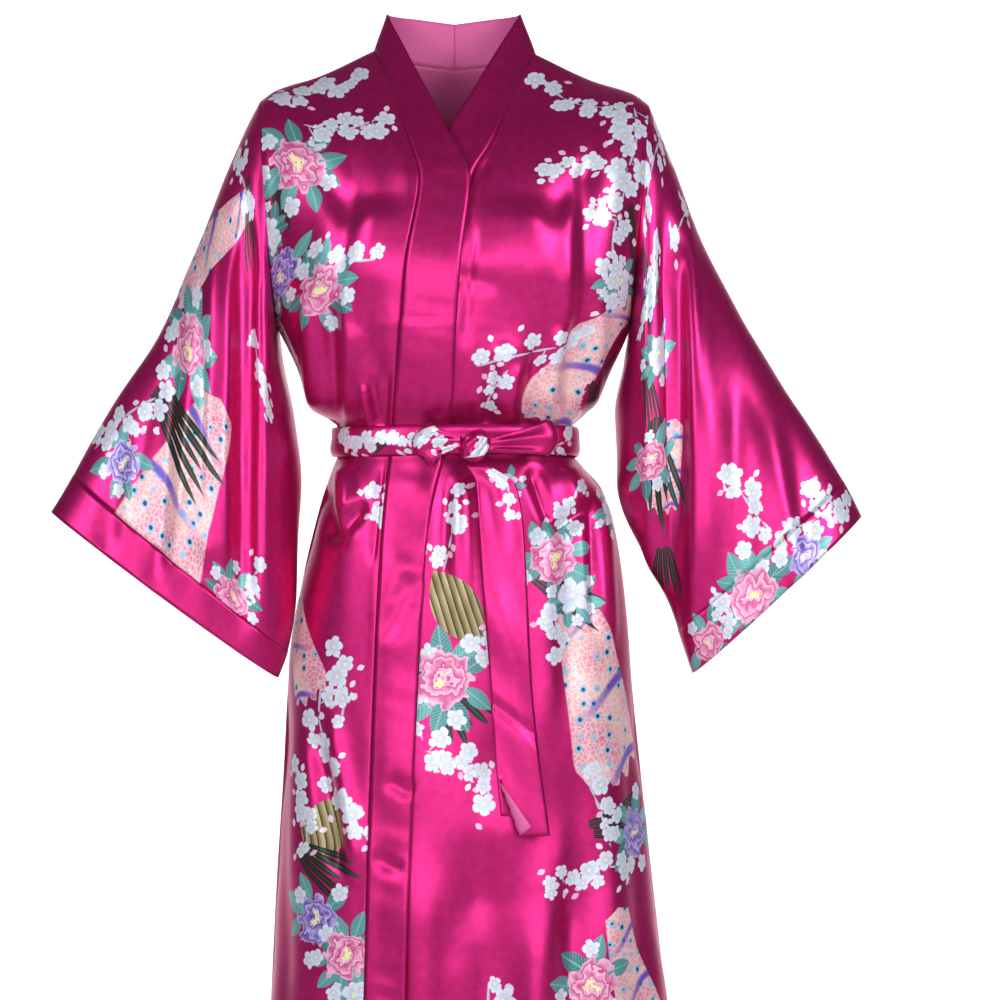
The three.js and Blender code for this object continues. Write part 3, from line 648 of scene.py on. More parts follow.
@dataclass
class Cloth:
    """A grid of cloth points that becomes one thin, closed shell.

    Attributes:
        name: The piece's name.
        grid: Rows of points in mm, from the hem or root upwards.
        slot: The finish that it is labelled with; not used.
        replaces: The solids that it stands for.
        thickness: In mm.
        wraps: True where each row closes on itself.
        zero: The column whose cloth coordinate across is 0.
        motifs: What is printed on it, from the lowest up.
    """

    name: str
    grid: Array
    slot: Slot
    replaces: tuple[str, ...]
    thickness: float = 0.9
    wraps: bool = False
    zero: int = 0
    motifs: list[Motif] = field(default_factory=list)

    def lay_flat(self) -> Array:
        """Cloth coordinates in mm: across each row, and up the middle of the piece."""
        rows, columns = self.grid.shape[:2]
        steps = np.linalg.norm(np.diff(self.grid, axis=1), axis=2)
        u = np.concatenate([np.zeros((rows, 1)), np.cumsum(steps, axis=1)], axis=1)
        u -= u[:, self.zero : self.zero + 1]
        climbs = np.linalg.norm(np.diff(self.grid, axis=0), axis=2).mean(axis=1)
        v = np.concatenate([[0.0], np.cumsum(climbs)])
        return np.stack([u, np.repeat(v[:, None], columns, axis=1)], axis=-1)

    def place_of(self, x: float, z: float) -> Pair:
        """The cloth coordinates of the front-view place nearest to x and z."""
        away = (self.grid[..., 0] - x) ** 2 + (self.grid[..., 2] - z) ** 2
        if self.wraps:
            away = away + FAR_SIDE * (grid_normals(self.grid, True)[..., 1] * self.outward() > 0)
        r, c = np.unravel_index(np.argmin(away), away.shape)
        flat = self.lay_flat()[r, c]
        return float(flat[0]), float(flat[1])

    def outward(self) -> int:
        """1 where the grid's own normals face out of the garment, and -1 where they face in."""
        normals = grid_normals(self.grid, self.wraps)
        middle = self.grid.mean(axis=(0, 1))
        if not self.wraps:
            middle[:2] = 0
            middle = np.broadcast_to(middle, self.grid.shape).copy()
            middle[..., 2] = self.grid[..., 2]
        else:
            middle = self.grid.mean(axis=1, keepdims=True)
        return 1 if float(np.sum(normals * (self.grid - middle))) > 0 else -1

    def faces(self) -> Array:
        """Corner numbers of each square, turned to face out."""
        rows, columns = self.grid.shape[:2]
        numbers = np.arange(rows * columns).reshape(rows, columns)
        if self.wraps:
            numbers = np.concatenate([numbers, numbers[:, :1]], axis=1)
        square = [numbers[:-1, :-1], numbers[:-1, 1:], numbers[1:, 1:], numbers[1:, :-1]]
        if self.outward() < 0:
            square.reverse()
        return np.stack(square, axis=-1).reshape(-1, 4)

    def corner_flats(self) -> Array:
        """Cloth coordinates at each corner of each square."""
        flat = self.lay_flat()
        if self.wraps:
            closing = np.linalg.norm(self.grid[:, 0] - self.grid[:, -1], axis=1)
            last = flat[:, -1:].copy()
            last[..., 0] += closing[:, None]
            flat = np.concatenate([flat, last], axis=1)
        square = [flat[:-1, :-1], flat[:-1, 1:], flat[1:, 1:], flat[1:, :-1]]
        if self.outward() < 0:
            square.reverse()
        return np.stack(square, axis=2).reshape(-1, 4, 2)

    def print_layers(self, flats: Array) -> dict[str, Array]:
        """Each layer's motif coordinates and code at every corner, later motifs on top.

        Args:
            flats: Cloth coordinates at each corner.

        Returns:
            An array of (u, v, code) for each layer's name.
        """
        layers = {}
        for names in PRINT_LAYERS.values():
            for name in names:
                layers[name] = np.full((len(flats), 4, 3), FAR)
        centres = flats.mean(axis=1)
        for motif in self.motifs:
            reach = motif.size * max(1.0, motif.stretch) + NEAR
            near = np.abs(centres - (motif.u, motif.v)).max(axis=1) < reach
            if not near.any():
                continue
            local = (flats[near] - (motif.u, motif.v)) / motif.size
            cosine, sine = math.cos(motif.turn), math.sin(motif.turn)
            u = (local[..., 0] * cosine + local[..., 1] * sine) / motif.stretch
            v = local[..., 1] * cosine - local[..., 0] * sine
            inside = motif.covers(u, v)
            chosen = np.flatnonzero(near)[inside]
            code = motif.kind + CODE_START + CODE_SPAN * motif.tone
            names = PRINT_LAYERS[type(motif.kind)]
            for lower, upper in zip(names, names[1:]):
                layers[lower][chosen] = layers[upper][chosen]
            layers[names[-1]][chosen, :, 0] = u[inside]
            layers[names[-1]][chosen, :, 1] = v[inside]
            layers[names[-1]][chosen, :, 2] = code
        return layers

    def build(self, outside: bpy.types.Material, inside: bpy.types.Material) -> bpy.types.Object:
        """Makes the shell and sets it on the robe.

        Args:
            outside: The right side's material.
            inside: The wrong side's material.

        Returns:
            The piece.
        """
        mesh = bpy.data.meshes.new(self.name)
        faces = self.faces()
        mesh.from_pydata((self.grid.reshape(-1, 3) * MM).tolist(), [], faces.tolist())
        flats = self.corner_flats()
        uv = mesh.uv_layers.new(name="Cloth")
        uv.data.foreach_set("uv", (flats * MM).astype(np.float32).ravel())
        if self.motifs:
            for name, values in self.print_layers(flats).items():
                layer = mesh.attributes.new(name, "FLOAT_VECTOR", "CORNER")
                layer.data.foreach_set("vector", values.astype(np.float32).ravel())
        mesh.materials.append(outside)
        mesh.materials.append(inside)
        mesh.shade_smooth()
        piece = bpy.data.objects.new(self.name, mesh)
        bpy.context.scene.collection.objects.link(piece)
        shell = piece.modifiers.new("Thickness", "SOLIDIFY")
        shell.thickness = self.thickness * MM
        shell.offset = 0.0
        shell.material_offset = 1
        shell.material_offset_rim = 0
        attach(piece, "root")
        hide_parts(*self.replaces)
        LOG.info("%s: %d squares, %d motifs", self.name, len(faces), len(self.motifs))
        return piece


@dataclass(frozen=True)
class Drawing:
    """A group of motifs drawn between two front-view places, in mm."""

    x0: float
    z0: float
    x1: float
    z1: float

    def ends(self, cloth: Cloth) -> tuple[Array, Array]:
        """Both places on the flat cloth."""
        return np.array(cloth.place_of(self.x0, self.z0)), np.array(cloth.place_of(self.x1, self.z1))

    @staticmethod
    def turn(run: Array) -> float:
        """The direction of a run on the flat cloth."""
        return math.atan2(run[1], run[0])


@dataclass(frozen=True)
class Spray(Drawing):
    """A bent branch with blossoms and buds.

    Sizes are half widths in mm on the flat cloth. A pair is a range, apart from narrowing: the
    spread's share at the thick end, and what it loses on the way to the tip.
    """

    blossoms: int = 9
    spread: float = 17.0
    size: float = 12.5
    sizes: Pair = (0.72, 1.12)
    bend: float = 0.16
    pieces: int = 5
    overlap: float = 0.56
    twig: float = 1.5
    stalk: float = 1.1
    stalk_from: float = 9.0
    slip: Pair = (-4.0, 8.0)
    narrowing: Pair = (1.15, 0.5)
    buds: tuple[int, ...] = (0, 1, 2)
    bud: float = 3.2
    bud_stretch: float = 1.5
    bud_reach: Pair = (1.1, 1.7)
    bud_lean: float = 200.0
    twig_tone: float = 0.5
    stalk_tone: float = 0.4

    def draw(self, cloth: Cloth, chance: random.Random) -> list[Motif]:
        """Draws the branch from its thick end to its tip."""
        start, end = self.ends(cloth)
        run = end - start
        length = float(np.hypot(*run))
        side = np.array([-run[1], run[0]]) / max(length, 1.0)
        bend = chance.uniform(-self.bend, self.bend) * length
        shares = np.linspace(0, 1, self.pieces + 1)
        path = [start + run * share + side * bend * math.sin(math.pi * share) for share in shares]
        motifs = []
        for a, b in zip(path, path[1:]):
            middle, piece = (a + b) / 2, b - a
            stretch = float(np.hypot(*piece)) * self.overlap / self.twig
            motifs.append(Motif(Frond.TWIG, *middle, self.twig, self.turn(piece), self.twig_tone, stretch))
        wide, narrowing = self.narrowing
        for number in range(self.blossoms):
            share = (number + chance.random()) / self.blossoms
            root = start + run * share + side * bend * math.sin(math.pi * share)
            away = side * chance.uniform(-1, 1) * self.spread * (wide - narrowing * share)
            place = root + away + run / max(length, 1.0) * chance.uniform(*self.slip)
            motifs += self.stalk_to(place, root)
            size = self.size * chance.uniform(*self.sizes)
            motifs.append(Motif(Bloom.BLOSSOM, *place, size, chance.uniform(*ANY_TURN), chance.random()))
            for _ in range(chance.choice(self.buds)):
                towards = side * chance.choice((-1, 1)) + run / self.bud_lean
                tip = place + towards * size * chance.uniform(*self.bud_reach)
                turn, tone = chance.uniform(*HALF_TURN), chance.random()
                motifs.append(Motif(Frond.BUD, *tip, self.bud, turn, tone, self.bud_stretch))
        return motifs

    def stalk_to(self, place: Array, root: Array) -> list[Motif]:
        """A blossom's stalk, left out where it is too short to see."""
        run = place - root
        length = float(np.hypot(*run))
        if length <= self.stalk_from:
            return []
        middle = (place + root) / 2
        stretch = length / (2 * self.stalk)
        return [Motif(Frond.TWIG, *middle, self.stalk, self.turn(run), self.stalk_tone, stretch)]


@dataclass(frozen=True)
class Bouquet(Drawing):
    """A large flower at the first place on a bed of leaves that points to the second one.

    The size is in mm, and reach, width and the shares are shares of it. A pair is a range. The
    fan, wander, lean and step are turns in radians.
    """

    size: float = 33.0
    kind: Bloom = Bloom.PEONY
    leaves: int = 8
    blossoms: int = 5
    fan: float = 5.6
    leaf_wander: float = 0.2
    leaf_reach: Pair = (0.95, 1.2)
    leaf_width: Pair = (0.26, 0.38)
    leaf_lean: float = 0.4
    leaf_stretch: float = 2.1
    blossom_step: float = 2.4
    blossom_wander: float = 0.4
    blossom_reach: Pair = (1.05, 1.5)
    blossom_share: float = 0.34
    flower_share: float = 0.95

    def draw(self, cloth: Cloth, chance: random.Random) -> list[Motif]:
        """Draws the leaves, the blossoms round the flower and the flower."""
        start, end = self.ends(cloth)
        heading = self.turn(end - start)
        motifs = []
        for number in range(self.leaves):
            turn = heading + (number / self.leaves - 0.5) * self.fan
            turn = turn + chance.uniform(-self.leaf_wander, self.leaf_wander)
            out = np.array([math.cos(turn), math.sin(turn)]) * self.size * chance.uniform(*self.leaf_reach)
            width = self.size * chance.uniform(*self.leaf_width)
            turn = turn + chance.uniform(-self.leaf_lean, self.leaf_lean)
            leaf = Motif(Frond.LEAF, *(start + out), width, turn, chance.random(), self.leaf_stretch)
            motifs.append(leaf)
        for number in range(self.blossoms):
            turn = heading + self.blossom_step * number
            turn = turn + chance.uniform(-self.blossom_wander, self.blossom_wander)
            out = np.array([math.cos(turn), math.sin(turn)]) * self.size
            out = out * chance.uniform(*self.blossom_reach)
            size = self.size * self.blossom_share
            blossom = Motif(Bloom.BLOSSOM, *(start + out), size, chance.uniform(*ANY_TURN), chance.random())
            motifs.append(blossom)
        size = self.size * self.flower_share
        motifs.append(Motif(self.kind, *start, size, chance.uniform(*ANY_TURN), chance.random()))
        return motifs


@dataclass(frozen=True)
class Plumage(Drawing):
    """A patch of plumage from its root to its broad end, of a width and a least length in mm."""

    width: float = 60.0
    kind: Plume = Plume.TRAIN
    shortest: float = 20.0

    def draw(self, cloth: Cloth, chance: random.Random) -> list[Motif]:
        """Draws the patch."""
        start, end = self.ends(cloth)
        run = end - start
        stretch = max(float(np.hypot(*run)), self.shortest) / self.width
        middle = (start + end) / 2
        return [Motif(self.kind, *middle, self.width / 2, self.turn(run), chance.random(), stretch)]


@dataclass(frozen=True)
class Feathers(Plumage):
    """Long dark feathers side by side, fanned a little."""

    width: float = 44.0
    kind: Plume = Plume.FEATHERS


IRIS = Bloom.IRIS
WING = Plume.WING

# The print: every piece's drawings in the order that they are laid on, by front-view place in mm
RIGHT_FRONT_PRINT = (
    Plumage(-206, -290, -160, -386, 46),
    Plumage(-150, -872, -132, -806, 59, WING),
    Plumage(-150, -1180, -128, -1040, 81),
    Plumage(-196, -560, -150, -700, 70),
    Feathers(-196, -132, -180, -208, 38),
    Spray(-196, -52, -100, -22, 9, 16),
    Spray(-160, -80, -72, -70, 10, 22, 12),
    Spray(-180, -215, -84, -232, 6, 18, 13),
    Spray(-176, -330, -186, -400, 5, 12, 10),
    Spray(-140, -680, -84, -846, 13, 20, 12),
    Spray(-128, -640, -118, -720, 5, 14, 11),
    Spray(-120, -1000, -88, -1160, 9, 18, 12),
    Spray(-44, -470, -60, -510, 5, 14, 12),
    Feathers(-160, -860, -96, -900, 68),
    Bouquet(-196, -340, -180, -380, 22, Bloom.BLOSSOM, 9, 4),
    Bouquet(-198, -196, -190, -160, 17, Bloom.BLOSSOM, 8, 2),
    Bouquet(-104, -1010, -96, -1040, 15, Bloom.BLOSSOM, 7, 3),
    Spray(-172, -760, -156, -860, 7, 12, 11),
    Bouquet(-168, -128, -120, -150, 34),
    Bouquet(-186, -246, -210, -280, 32, IRIS, 7, 2),
    Bouquet(-142, -262, -110, -290, 31),
    Bouquet(-146, -932, -120, -900, 31, IRIS, 6, 3),
    Bouquet(-112, -968, -90, -1000, 29),
    Bouquet(-150, -1240, -110, -1250, 34),
)
LEFT_FRONT_PRINT = (
    Plumage(196, -262, 108, -408, 118),
    Plumage(122, -570, 180, -790, 124),
    Plumage(-20, -560, 30, -640, 52, WING),
    Plumage(176, -920, 214, -1080, 96),
    Plumage(64, -1190, 30, -1090, 73, WING),
    Feathers(176, -330, 158, -400, 61),
    Feathers(90, -568, 168, -622, 61),
    Feathers(-6, -690, 30, -742, 82),
    Feathers(150, -838, 214, -820, 76),
    Feathers(192, -170, 202, -300, 34),
    Feathers(150, -360, 186, -430, 38),
    Bouquet(180, -250, 190, -300, 22, Bloom.BLOSSOM, 8, 5),
    Bouquet(56, -470, 40, -500, 14, Bloom.BLOSSOM, 5, 4),
    Bouquet(170, -500, 176, -540, 18, Bloom.BLOSSOM, 7, 5),
    Spray(60, -560, 44, -640, 7, 12, 10),
    Bouquet(128, -590, 170, -600, 22, Bloom.BLOSSOM, 8, 5),
    Spray(96, -24, 182, -60, 9, 14, 11),
    Spray(196, -60, 150, -180, 13, 24, 13),
    Spray(186, -150, 176, -280, 11, 20, 12),
    Spray(166, -122, 98, -140, 6, 10, 10),
    Spray(148, -316, 26, -344, 11, 16, 11),
    Spray(60, -350, 38, -380, 4, 12, 10),
    Spray(134, -470, 110, -540, 7, 18, 11),
    Spray(-10, -560, 6, -470, 6, 12, 10),
    Spray(-24, -640, -30, -740, 6, 14, 11),
    Spray(-26, -752, 44, -800, 11, 18, 12),
    Spray(120, -650, 96, -600, 5, 14, 11),
    Spray(140, -770, 168, -856, 8, 18, 12),
    Spray(196, -880, 98, -902, 12, 16, 11),
    Spray(40, -1000, 90, -1120, 9, 18, 12),
    Spray(210, -1130, 170, -1260, 9, 18, 12),
    Bouquet(108, -548, 80, -520, 29, Bloom.PEONY, 8, 4),
    Bouquet(-8, -676, 30, -660, 35),
    Bouquet(196, -846, 170, -820, 29, IRIS, 7, 3),
    Bouquet(20, -1190, 60, -1200, 36),
    Bouquet(150, -1000, 120, -1010, 30, Bloom.PEONY, 7, 4),
)
RIGHT_SLEEVE_PRINT = (
    Plumage(-216, -160, -300, -262, 76),
    Plumage(-248, -376, -330, -566, 150),
    Feathers(-316, -366, -246, -490, 84),
    Feathers(-222, -140, -212, -250, 46),
    Spray(-232, -100, -214, -170, 6, 14, 11),
    Spray(-306, -292, -270, -330, 5, 16, 12),
    Spray(-300, -370, -384, -430, 9, 18, 12),
    Spray(-216, -300, -200, -390, 7, 14, 11),
    Spray(-216, -600, -206, -560, 4, 10, 10),
    Bouquet(-284, -322, -250, -350, 32, Bloom.PEONY, 9, 4),
    Bouquet(-352, -446, -380, -450, 24, IRIS, 6, 3),
    Bouquet(-236, -590, -250, -560, 23),
)
LEFT_SLEEVE_PRINT = (
    Plumage(240, -400, 226, -500, 54),
    Feathers(216, -400, 238, -520, 69),
    Feathers(228, -540, 238, -600, 61),
    Feathers(206, -210, 216, -330, 34),
    Feathers(204, -330, 222, -430, 34),
    Feathers(212, -590, 236, -680, 34),
    Spray(232, -90, 206, -190, 9, 16, 11),
    Spray(216, -200, 206, -300, 9, 14, 11),
    Spray(262, -176, 240, -206, 3, 8, 11),
    Spray(342, -520, 296, -452, 9, 16, 12),
    Spray(346, -520, 424, -490, 10, 18, 12),
    Spray(376, -468, 416, -500, 5, 10, 10),
    Spray(286, -610, 330, -560, 6, 14, 11),
    Bouquet(322, -588, 350, -560, 31, Bloom.PEONY, 10, 5),
    Bouquet(376, -548, 400, -540, 23, IRIS, 7, 3),
    Bouquet(212, -442, 220, -470, 24, Bloom.PEONY, 7, 2),
    Bouquet(222, -330, 226, -380, 20, Bloom.BLOSSOM, 8, 4),
    Bouquet(214, -260, 216, -300, 16, Bloom.BLOSSOM, 8, 3),
    Bouquet(276, -640, 300, -620, 22, Bloom.PEONY, 6, 4),
)
BACK_PRINT = (
    Plumage(40, -180, -60, -380, 130),
    Plumage(-40, -560, -130, -800, 135),
    Plumage(120, -640, 160, -820, 94),
    Plumage(60, -1000, -20, -900, 81, WING),
    Plumage(-110, -1120, -60, -1000, 81),
    Feathers(-20, -340, -110, -400, 85),
    Feathers(-90, -780, -30, -860, 97),
    Feathers(60, -980, 130, -930, 85),
    Plumage(110, -1010, 150, -1160, 96),
    Feathers(-130, -600, -110, -700, 50),
    Bouquet(-130, -1060, -110, -1080, 26),
    Bouquet(-170, -620, -160, -650, 24, IRIS),
    Bouquet(160, -560, 150, -600, 26),
    Spray(-160, -1120, -60, -1220, 12, 20, 12),
    Spray(20, -1240, 110, -1290, 10, 18, 12),
    Spray(-20, -400, -100, -330, 9, 18, 12),
    Spray(-180, -60, -60, -60, 12, 18, 12),
    Spray(180, -60, 70, -50, 12, 18, 12),
    Spray(150, -120, 168, -280, 13, 20, 12),
    Spray(-160, -150, -150, -300, 12, 20, 12),
    Spray(40, -470, 120, -590, 12, 20, 12),
    Spray(-130, -470, -60, -540, 9, 18, 12),
    Spray(30, -700, 60, -860, 12, 20, 12),
    Spray(-160, -860, -130, -1000, 12, 20, 12),
    Spray(150, -900, 180, -1080, 12, 20, 12),
    Spray(-30, -1080, 60, -1200, 12, 20, 12),
    Bouquet(84, -150, 120, -170, 38),
    Bouquet(-70, -250, -100, -240, 34, IRIS),
    Bouquet(100, -330, 60, -350, 34),
    Bouquet(0, -620, 40, -640, 40),
    Bouquet(70, -760, 110, -740, 34, IRIS),
    Bouquet(-100, -930, -60, -920, 38),
    Bouquet(120, -1180, 160, -1160, 38),
    Bouquet(-140, -1240, -100, -1240, 34, IRIS),
)
FRONT_PRINTS = {Side.RIGHT: RIGHT_FRONT_PRINT, Side.LEFT: LEFT_FRONT_PRINT}
SLEEVE_PRINTS = {Side.RIGHT: RIGHT_SLEEVE_PRINT, Side.LEFT: LEFT_SLEEVE_PRINT}
SASH_PRINT = (
    Feathers(-60, -418, -96, -432, 24),
    Spray(-124, -416, -36, -426, 11, 12, 10),
    Spray(80, -424, 128, -418, 6, 10, 9),
)
BOW_PRINT = (Spray(-36, -414, -6, -440, 5, 14, 10), Feathers(-30, -440, 0, -430, 18))
KNOT_PRINT = (Spray(18, -440, 30, -418, 3, 8, 9), Feathers(14, -420, 34, -434, 14))
END_PRINT = (Spray(40, -452, 58, -500, 5, 10, 10),)


@dataclass(frozen=True)
class Drape:
    """Creases pressed into a finished grid: listed ones and a soft unevenness.

    Attributes:
        front: Creases on what faces forward, rows as in the large folds.
        back: Creases on what faces backward.
        softness: Height of the unevenness, in mm.
        strength: What the creases' depths are multiplied by.
        waves: Its waves: along x, along z, start and share of the height.
        bend: How far a wave bends as it hangs, and how often over the height.
        other_side: How much further up the unevenness is read on the back, in mm.
        facing: How sharply the creases change over between front and back.
    """

    front: Folds
    back: Folds
    softness: float = 1.0
    strength: float = 1.3
    waves: tuple[Four, ...] = (
        (0.055, 0.011, 0.4, 1.0),
        (0.083, -0.017, 2.1, 0.7),
        (0.031, 0.026, 4.0, 0.8),
        (0.118, 0.008, 1.3, 0.35),
        (-0.047, 0.041, 5.2, 0.45),
    )
    bend: Pair = (0.9, 0.013)
    other_side: float = 60.0
    facing: float = 1.2

    def unevenness(self, x: Array, z: Array) -> Array:
        """Soft wrinkles that lean mostly with the hang of the cloth."""
        total = np.zeros(np.broadcast(x, z).shape)
        size, pace = self.bend
        for along_x, along_z, begin, share in self.waves:
            bend = size * np.sin(pace * z + begin)
            total += share * np.sin(along_x * x + along_z * z + bend + begin)
        return self.softness * total

    def press(self, grid: Array, outward: int, wraps: bool = False, share: Array | float = 1.0) -> Array:
        """Pushes the grid's points along its own normals.

        Args:
            grid: Rows of points.
            outward: 1 where the grid's normals face out, otherwise -1.
            wraps: True where each row closes on itself.
            share: How much of the creases each point takes.

        Returns:
            The creased grid.
        """
        normals = grid_normals(grid, wraps) * outward
        x, z = grid[..., 0], grid[..., 2]
        ahead = smooth(0.5 - normals[..., 1] * self.facing)
        depth = self.front.depth(x, z) * ahead + self.back.depth(x, z) * (1 - ahead)
        depth = depth * self.strength + self.unevenness(x, z + self.other_side * (1 - ahead))
        return grid + normals * (depth * share)[..., None]


BODY_DRAPE = Drape(
    Folds(
        # Bodice: the pouch over the sash at the right, gathers at the sash, drag lines to the armholes
        (-133, -262, -128, -432, 9, -8),
        (-156, -250, -151, -420, 8, 4),
        (-113, -240, -115, -408, 5, 3),
        (-86, -352, -78, -412, 5, -4),
        (-68, -346, -74, -412, 4, -3.5),
        (-96, -360, -88, -412, 5, 3),
        (44, -330, 34, -414, 6, -4),
        (70, -338, 56, -414, 6, 3.5),
        (92, -316, 74, -414, 6, -5),
        (118, -290, 100, -412, 8, 4),
        (138, -280, 122, -412, 7, -6),
        (160, -260, 150, -408, 8, 4),
        (22, -190, 14, -330, 5, -2.5),
        (150, -120, 96, -200, 14, -3),
        (-150, -120, -100, -200, 14, -3),
        (-60, -62, -30, -150, 8, -2.5),
        (52, -60, 30, -150, 8, -2.5),
        (-30, -240, 60, -262, 10, -1.5),
        # Skirt: the drooping fold at the right, the puff at the left, pleats from the sash
        (-118, -444, -112, -506, 11, 5),
        (-142, -466, -130, -536, 9, -7),
        (-131, -538, -92, -486, 8, -5),
        (-70, -444, -82, -560, 7, -3),
        (-8, -444, -14, -590, 9, -4),
        (8, -444, 10, -640, 9, 3.5),
        (82, -446, 108, -520, 8, -6),
        (104, -524, 150, -490, 8, -5),
        (122, -446, 136, -500, 12, 5),
        (150, -470, 153, -640, 6, -6),
        (164, -470, 170, -660, 8, 4),
        (-152, -720, -116, -890, 9, -5),
        (-134, -716, -98, -900, 9, 3.5),
        (-40, -560, -76, -640, 12, -3),
        (-70, -780, -40, -800, 7, -2),
        (-88, -860, -50, -880, 8, -2),
        (50, -720, 20, -960, 20, -3),
        (128, -860, 120, -1180, 13, -6),
        (96, -900, 88, -1200, 15, 4),
        (0, -900, -20, -1200, 22, -4),
        (44, -830, 30, -1180, 34, -7),
        (-24, -860, -34, -1180, 20, 4),
        (190, -700, 212, -1100, 12, -4),
        (-190, -640, -184, -1100, 12, -4),
    ),
    Folds(
        (-150, -262, -138, -408, 8, -6),
        (-118, -300, -104, -412, 6, 4),
        (-96, -330, -84, -412, 6, -4),
        (-60, -340, -52, -412, 6, 3.5),
        (-26, -330, -22, -412, 6, -4),
        (20, -336, 16, -412, 6, 3.5),
        (60, -330, 50, -412, 6, -4),
        (100, -320, 88, -412, 7, 4),
        (140, -280, 124, -408, 8, -6),
        (-120, -110, -60, -210, 18, -3),
        (120, -110, 60, -210, 18, -3),
        (-40, -444, -60, -620, 9, -4),
        (30, -444, 44, -640, 9, -4),
        (-110, -446, -140, -640, 9, -4),
        (96, -446, 128, -640, 9, -4),
        (0, -600, -10, -1180, 18, -4),
        (-70, -700, -100, -1250, 16, 4),
        (80, -680, 110, -1250, 16, -4),
    ),
)
SLEEVE_DRAPE = Drape(
    Folds(
        # Right sleeve: the deep inner fold and drag lines across the leaf
        (-226, -120, -222, -660, 12, -8),
        (-205, -180, -208, -640, 9, 4),
        (-254, -150, -262, -640, 9, 4),
        (-292, -240, -316, -600, 12, -3.5),
        (-350, -400, -372, -560, 14, -3),
        (-250, -560, -300, -470, 12, 2.5),
        # Left sleeve
        (230, -120, 236, -690, 13, -9),
        (208, -180, 214, -640, 9, 4),
        (256, -150, 262, -690, 7, 4.5),
        (300, -260, 318, -560, 16, -2.5),
        (352, -380, 384, -560, 15, -2.5),
    ),
    Folds(
        (-226, -120, -232, -640, 12, -6),
        (-270, -240, -290, -620, 13, 4),
        (-330, -360, -350, -600, 13, -4),
        (230, -120, 240, -660, 12, -6),
        (280, -240, 300, -620, 13, 4),
        (340, -360, 366, -600, 13, -4),
    ),
    0.8,
    1.15,
)


@dataclass(frozen=True)
class Satin(Finish):
    """Polyester charmeuse, woven with long floats: bright and smooth, with a soft directional gloss.

    The floats give the eye broad pink highlights on the ridges and deep wine shades in the
    troughs. The wrong side is crepe: paler and nearly matt.
    """

    name: str
    base: str = "C42072"
    wrong_side: str = "D9609F"
    roughness: float = 0.35
    ior: float = 1.45
    lustre: float = 0.76
    print_lustre: float = 0.2
    wrong_roughness: float = 0.6
    sheen: float = 0.08
    sheen_roughness: float = 0.4
    sheen_tint: str = "FF5CB8"
    weave: float = 0.45
    weave_strength: float = 0.04
    weave_height: float = 0.0004
    weave_wander: float = 1.5
    slub: float = 9.0
    slub_ramp: Four = (0.35, 0.65, 0.0, 1.0)
    shade: float = 0.93

    def colour_of_cloth(self, tree: Any, cloth: Any) -> tuple[Any, Any]:
        """The dye's colour, a little uneven as woven satin is, and how much of it is printed over."""
        drift = self.add(tree, "TexNoise", cloth, Scale=PER_METRE / self.slub, Detail=2.0)
        drift = self.add(tree, "MapRange", drift, *self.slub_ramp)
        return self.add(tree, "MixRGB", drift, self.colour(self.base), self.colour(self.deep())), None

    def deep(self) -> str:
        """The base colour a shade darker."""
        return "".join(f"{int(int(self.base[i:i + 2], 16) * self.shade):02X}" for i in (0, 2, 4))

    def made(self, reverse: bool = False) -> bpy.types.Material:
        """The material, made once."""
        name = self.name + ("_wrong_side" if reverse else "")
        return bpy.data.materials.get(name) or self.make(reverse)

    def make(self, reverse: bool = False) -> bpy.types.Material:
        """Makes the material.

        Args:
            reverse: True for the wrong side.

        Returns:
            The material.
        """
        material = bpy.data.materials.new(self.name + ("_wrong_side" if reverse else ""))
        material.use_nodes = True
        tree = material.node_tree
        shader = tree.nodes["Principled BSDF"]
        cloth = self.add(tree, "UVMap", uv_map="Cloth")
        shader.inputs["Metallic"].default_value = 0.0 if reverse else self.lustre
        if reverse:
            shader.inputs["Base Color"].default_value = self.colour(self.wrong_side)
        else:
            colour, printed = self.colour_of_cloth(tree, cloth)
            tree.links.new(colour, shader.inputs["Base Color"])
            if printed is not None:
                gloss = self.add(tree, "MapRange", printed, 0.0, 1.0, self.lustre, self.print_lustre)
                tree.links.new(gloss, shader.inputs["Metallic"])
        shader.inputs["Roughness"].default_value = self.wrong_roughness if reverse else self.roughness
        shader.inputs["IOR"].default_value = self.ior
        shader.inputs["Sheen Weight"].default_value = self.sheen
        shader.inputs["Sheen Roughness"].default_value = self.sheen_roughness
        shader.inputs["Sheen Tint"].default_value = self.colour(self.sheen_tint)
        scale = PER_METRE / self.weave / RIBS
        ribs = self.add(tree, "TexWave", cloth, Scale=scale, Distortion=self.weave_wander, Detail=1.0)
        bump = self.add(tree, "Bump", self.weave_strength, self.weave_height, Height=ribs)
        tree.links.new(bump, shader.inputs["Normal"])
        return material


@dataclass(frozen=True)
class FlowerForm:
    """How a flower is drawn, in shares of its radius.

    A pair is the value for a blossom and for a large flower. A ramp is where it starts and ends,
    and what it gives there.
    """

    wander: Pair = (0.55, 1.0)
    half_petals: Pair = (2.5, 3.5)
    notch: Pair = (0.42, 0.22)
    rings: Pair = (1.0, 3.0)
    ripple: Pair = (0.0, 0.16)
    glow: Pair = (0.6, 1.1)
    ripples: float = 7.0
    roundness: float = 0.5
    gap_ramp: Four = (0.45, 0.15, 0.0, 0.7)
    rim_ramp: Four = (0.86, 0.97, 0.0, 0.5)
    stamens: float = 6.0
    heart: float = 0.19
    heart_spikes: float = 0.07
    edge: float = 0.93


@dataclass(frozen=True)
class FrondForm:
    """How a leaf, bud or twig is drawn, in shares of its half length and half width."""

    veins: float = 6.0
    vein_slant: float = -2.0
    vein_share: float = 0.45
    tone_share: float = 0.5
    rib_ramp: Four = (0.1, 0.04, 0.0, 0.7)
    edge: float = 0.1


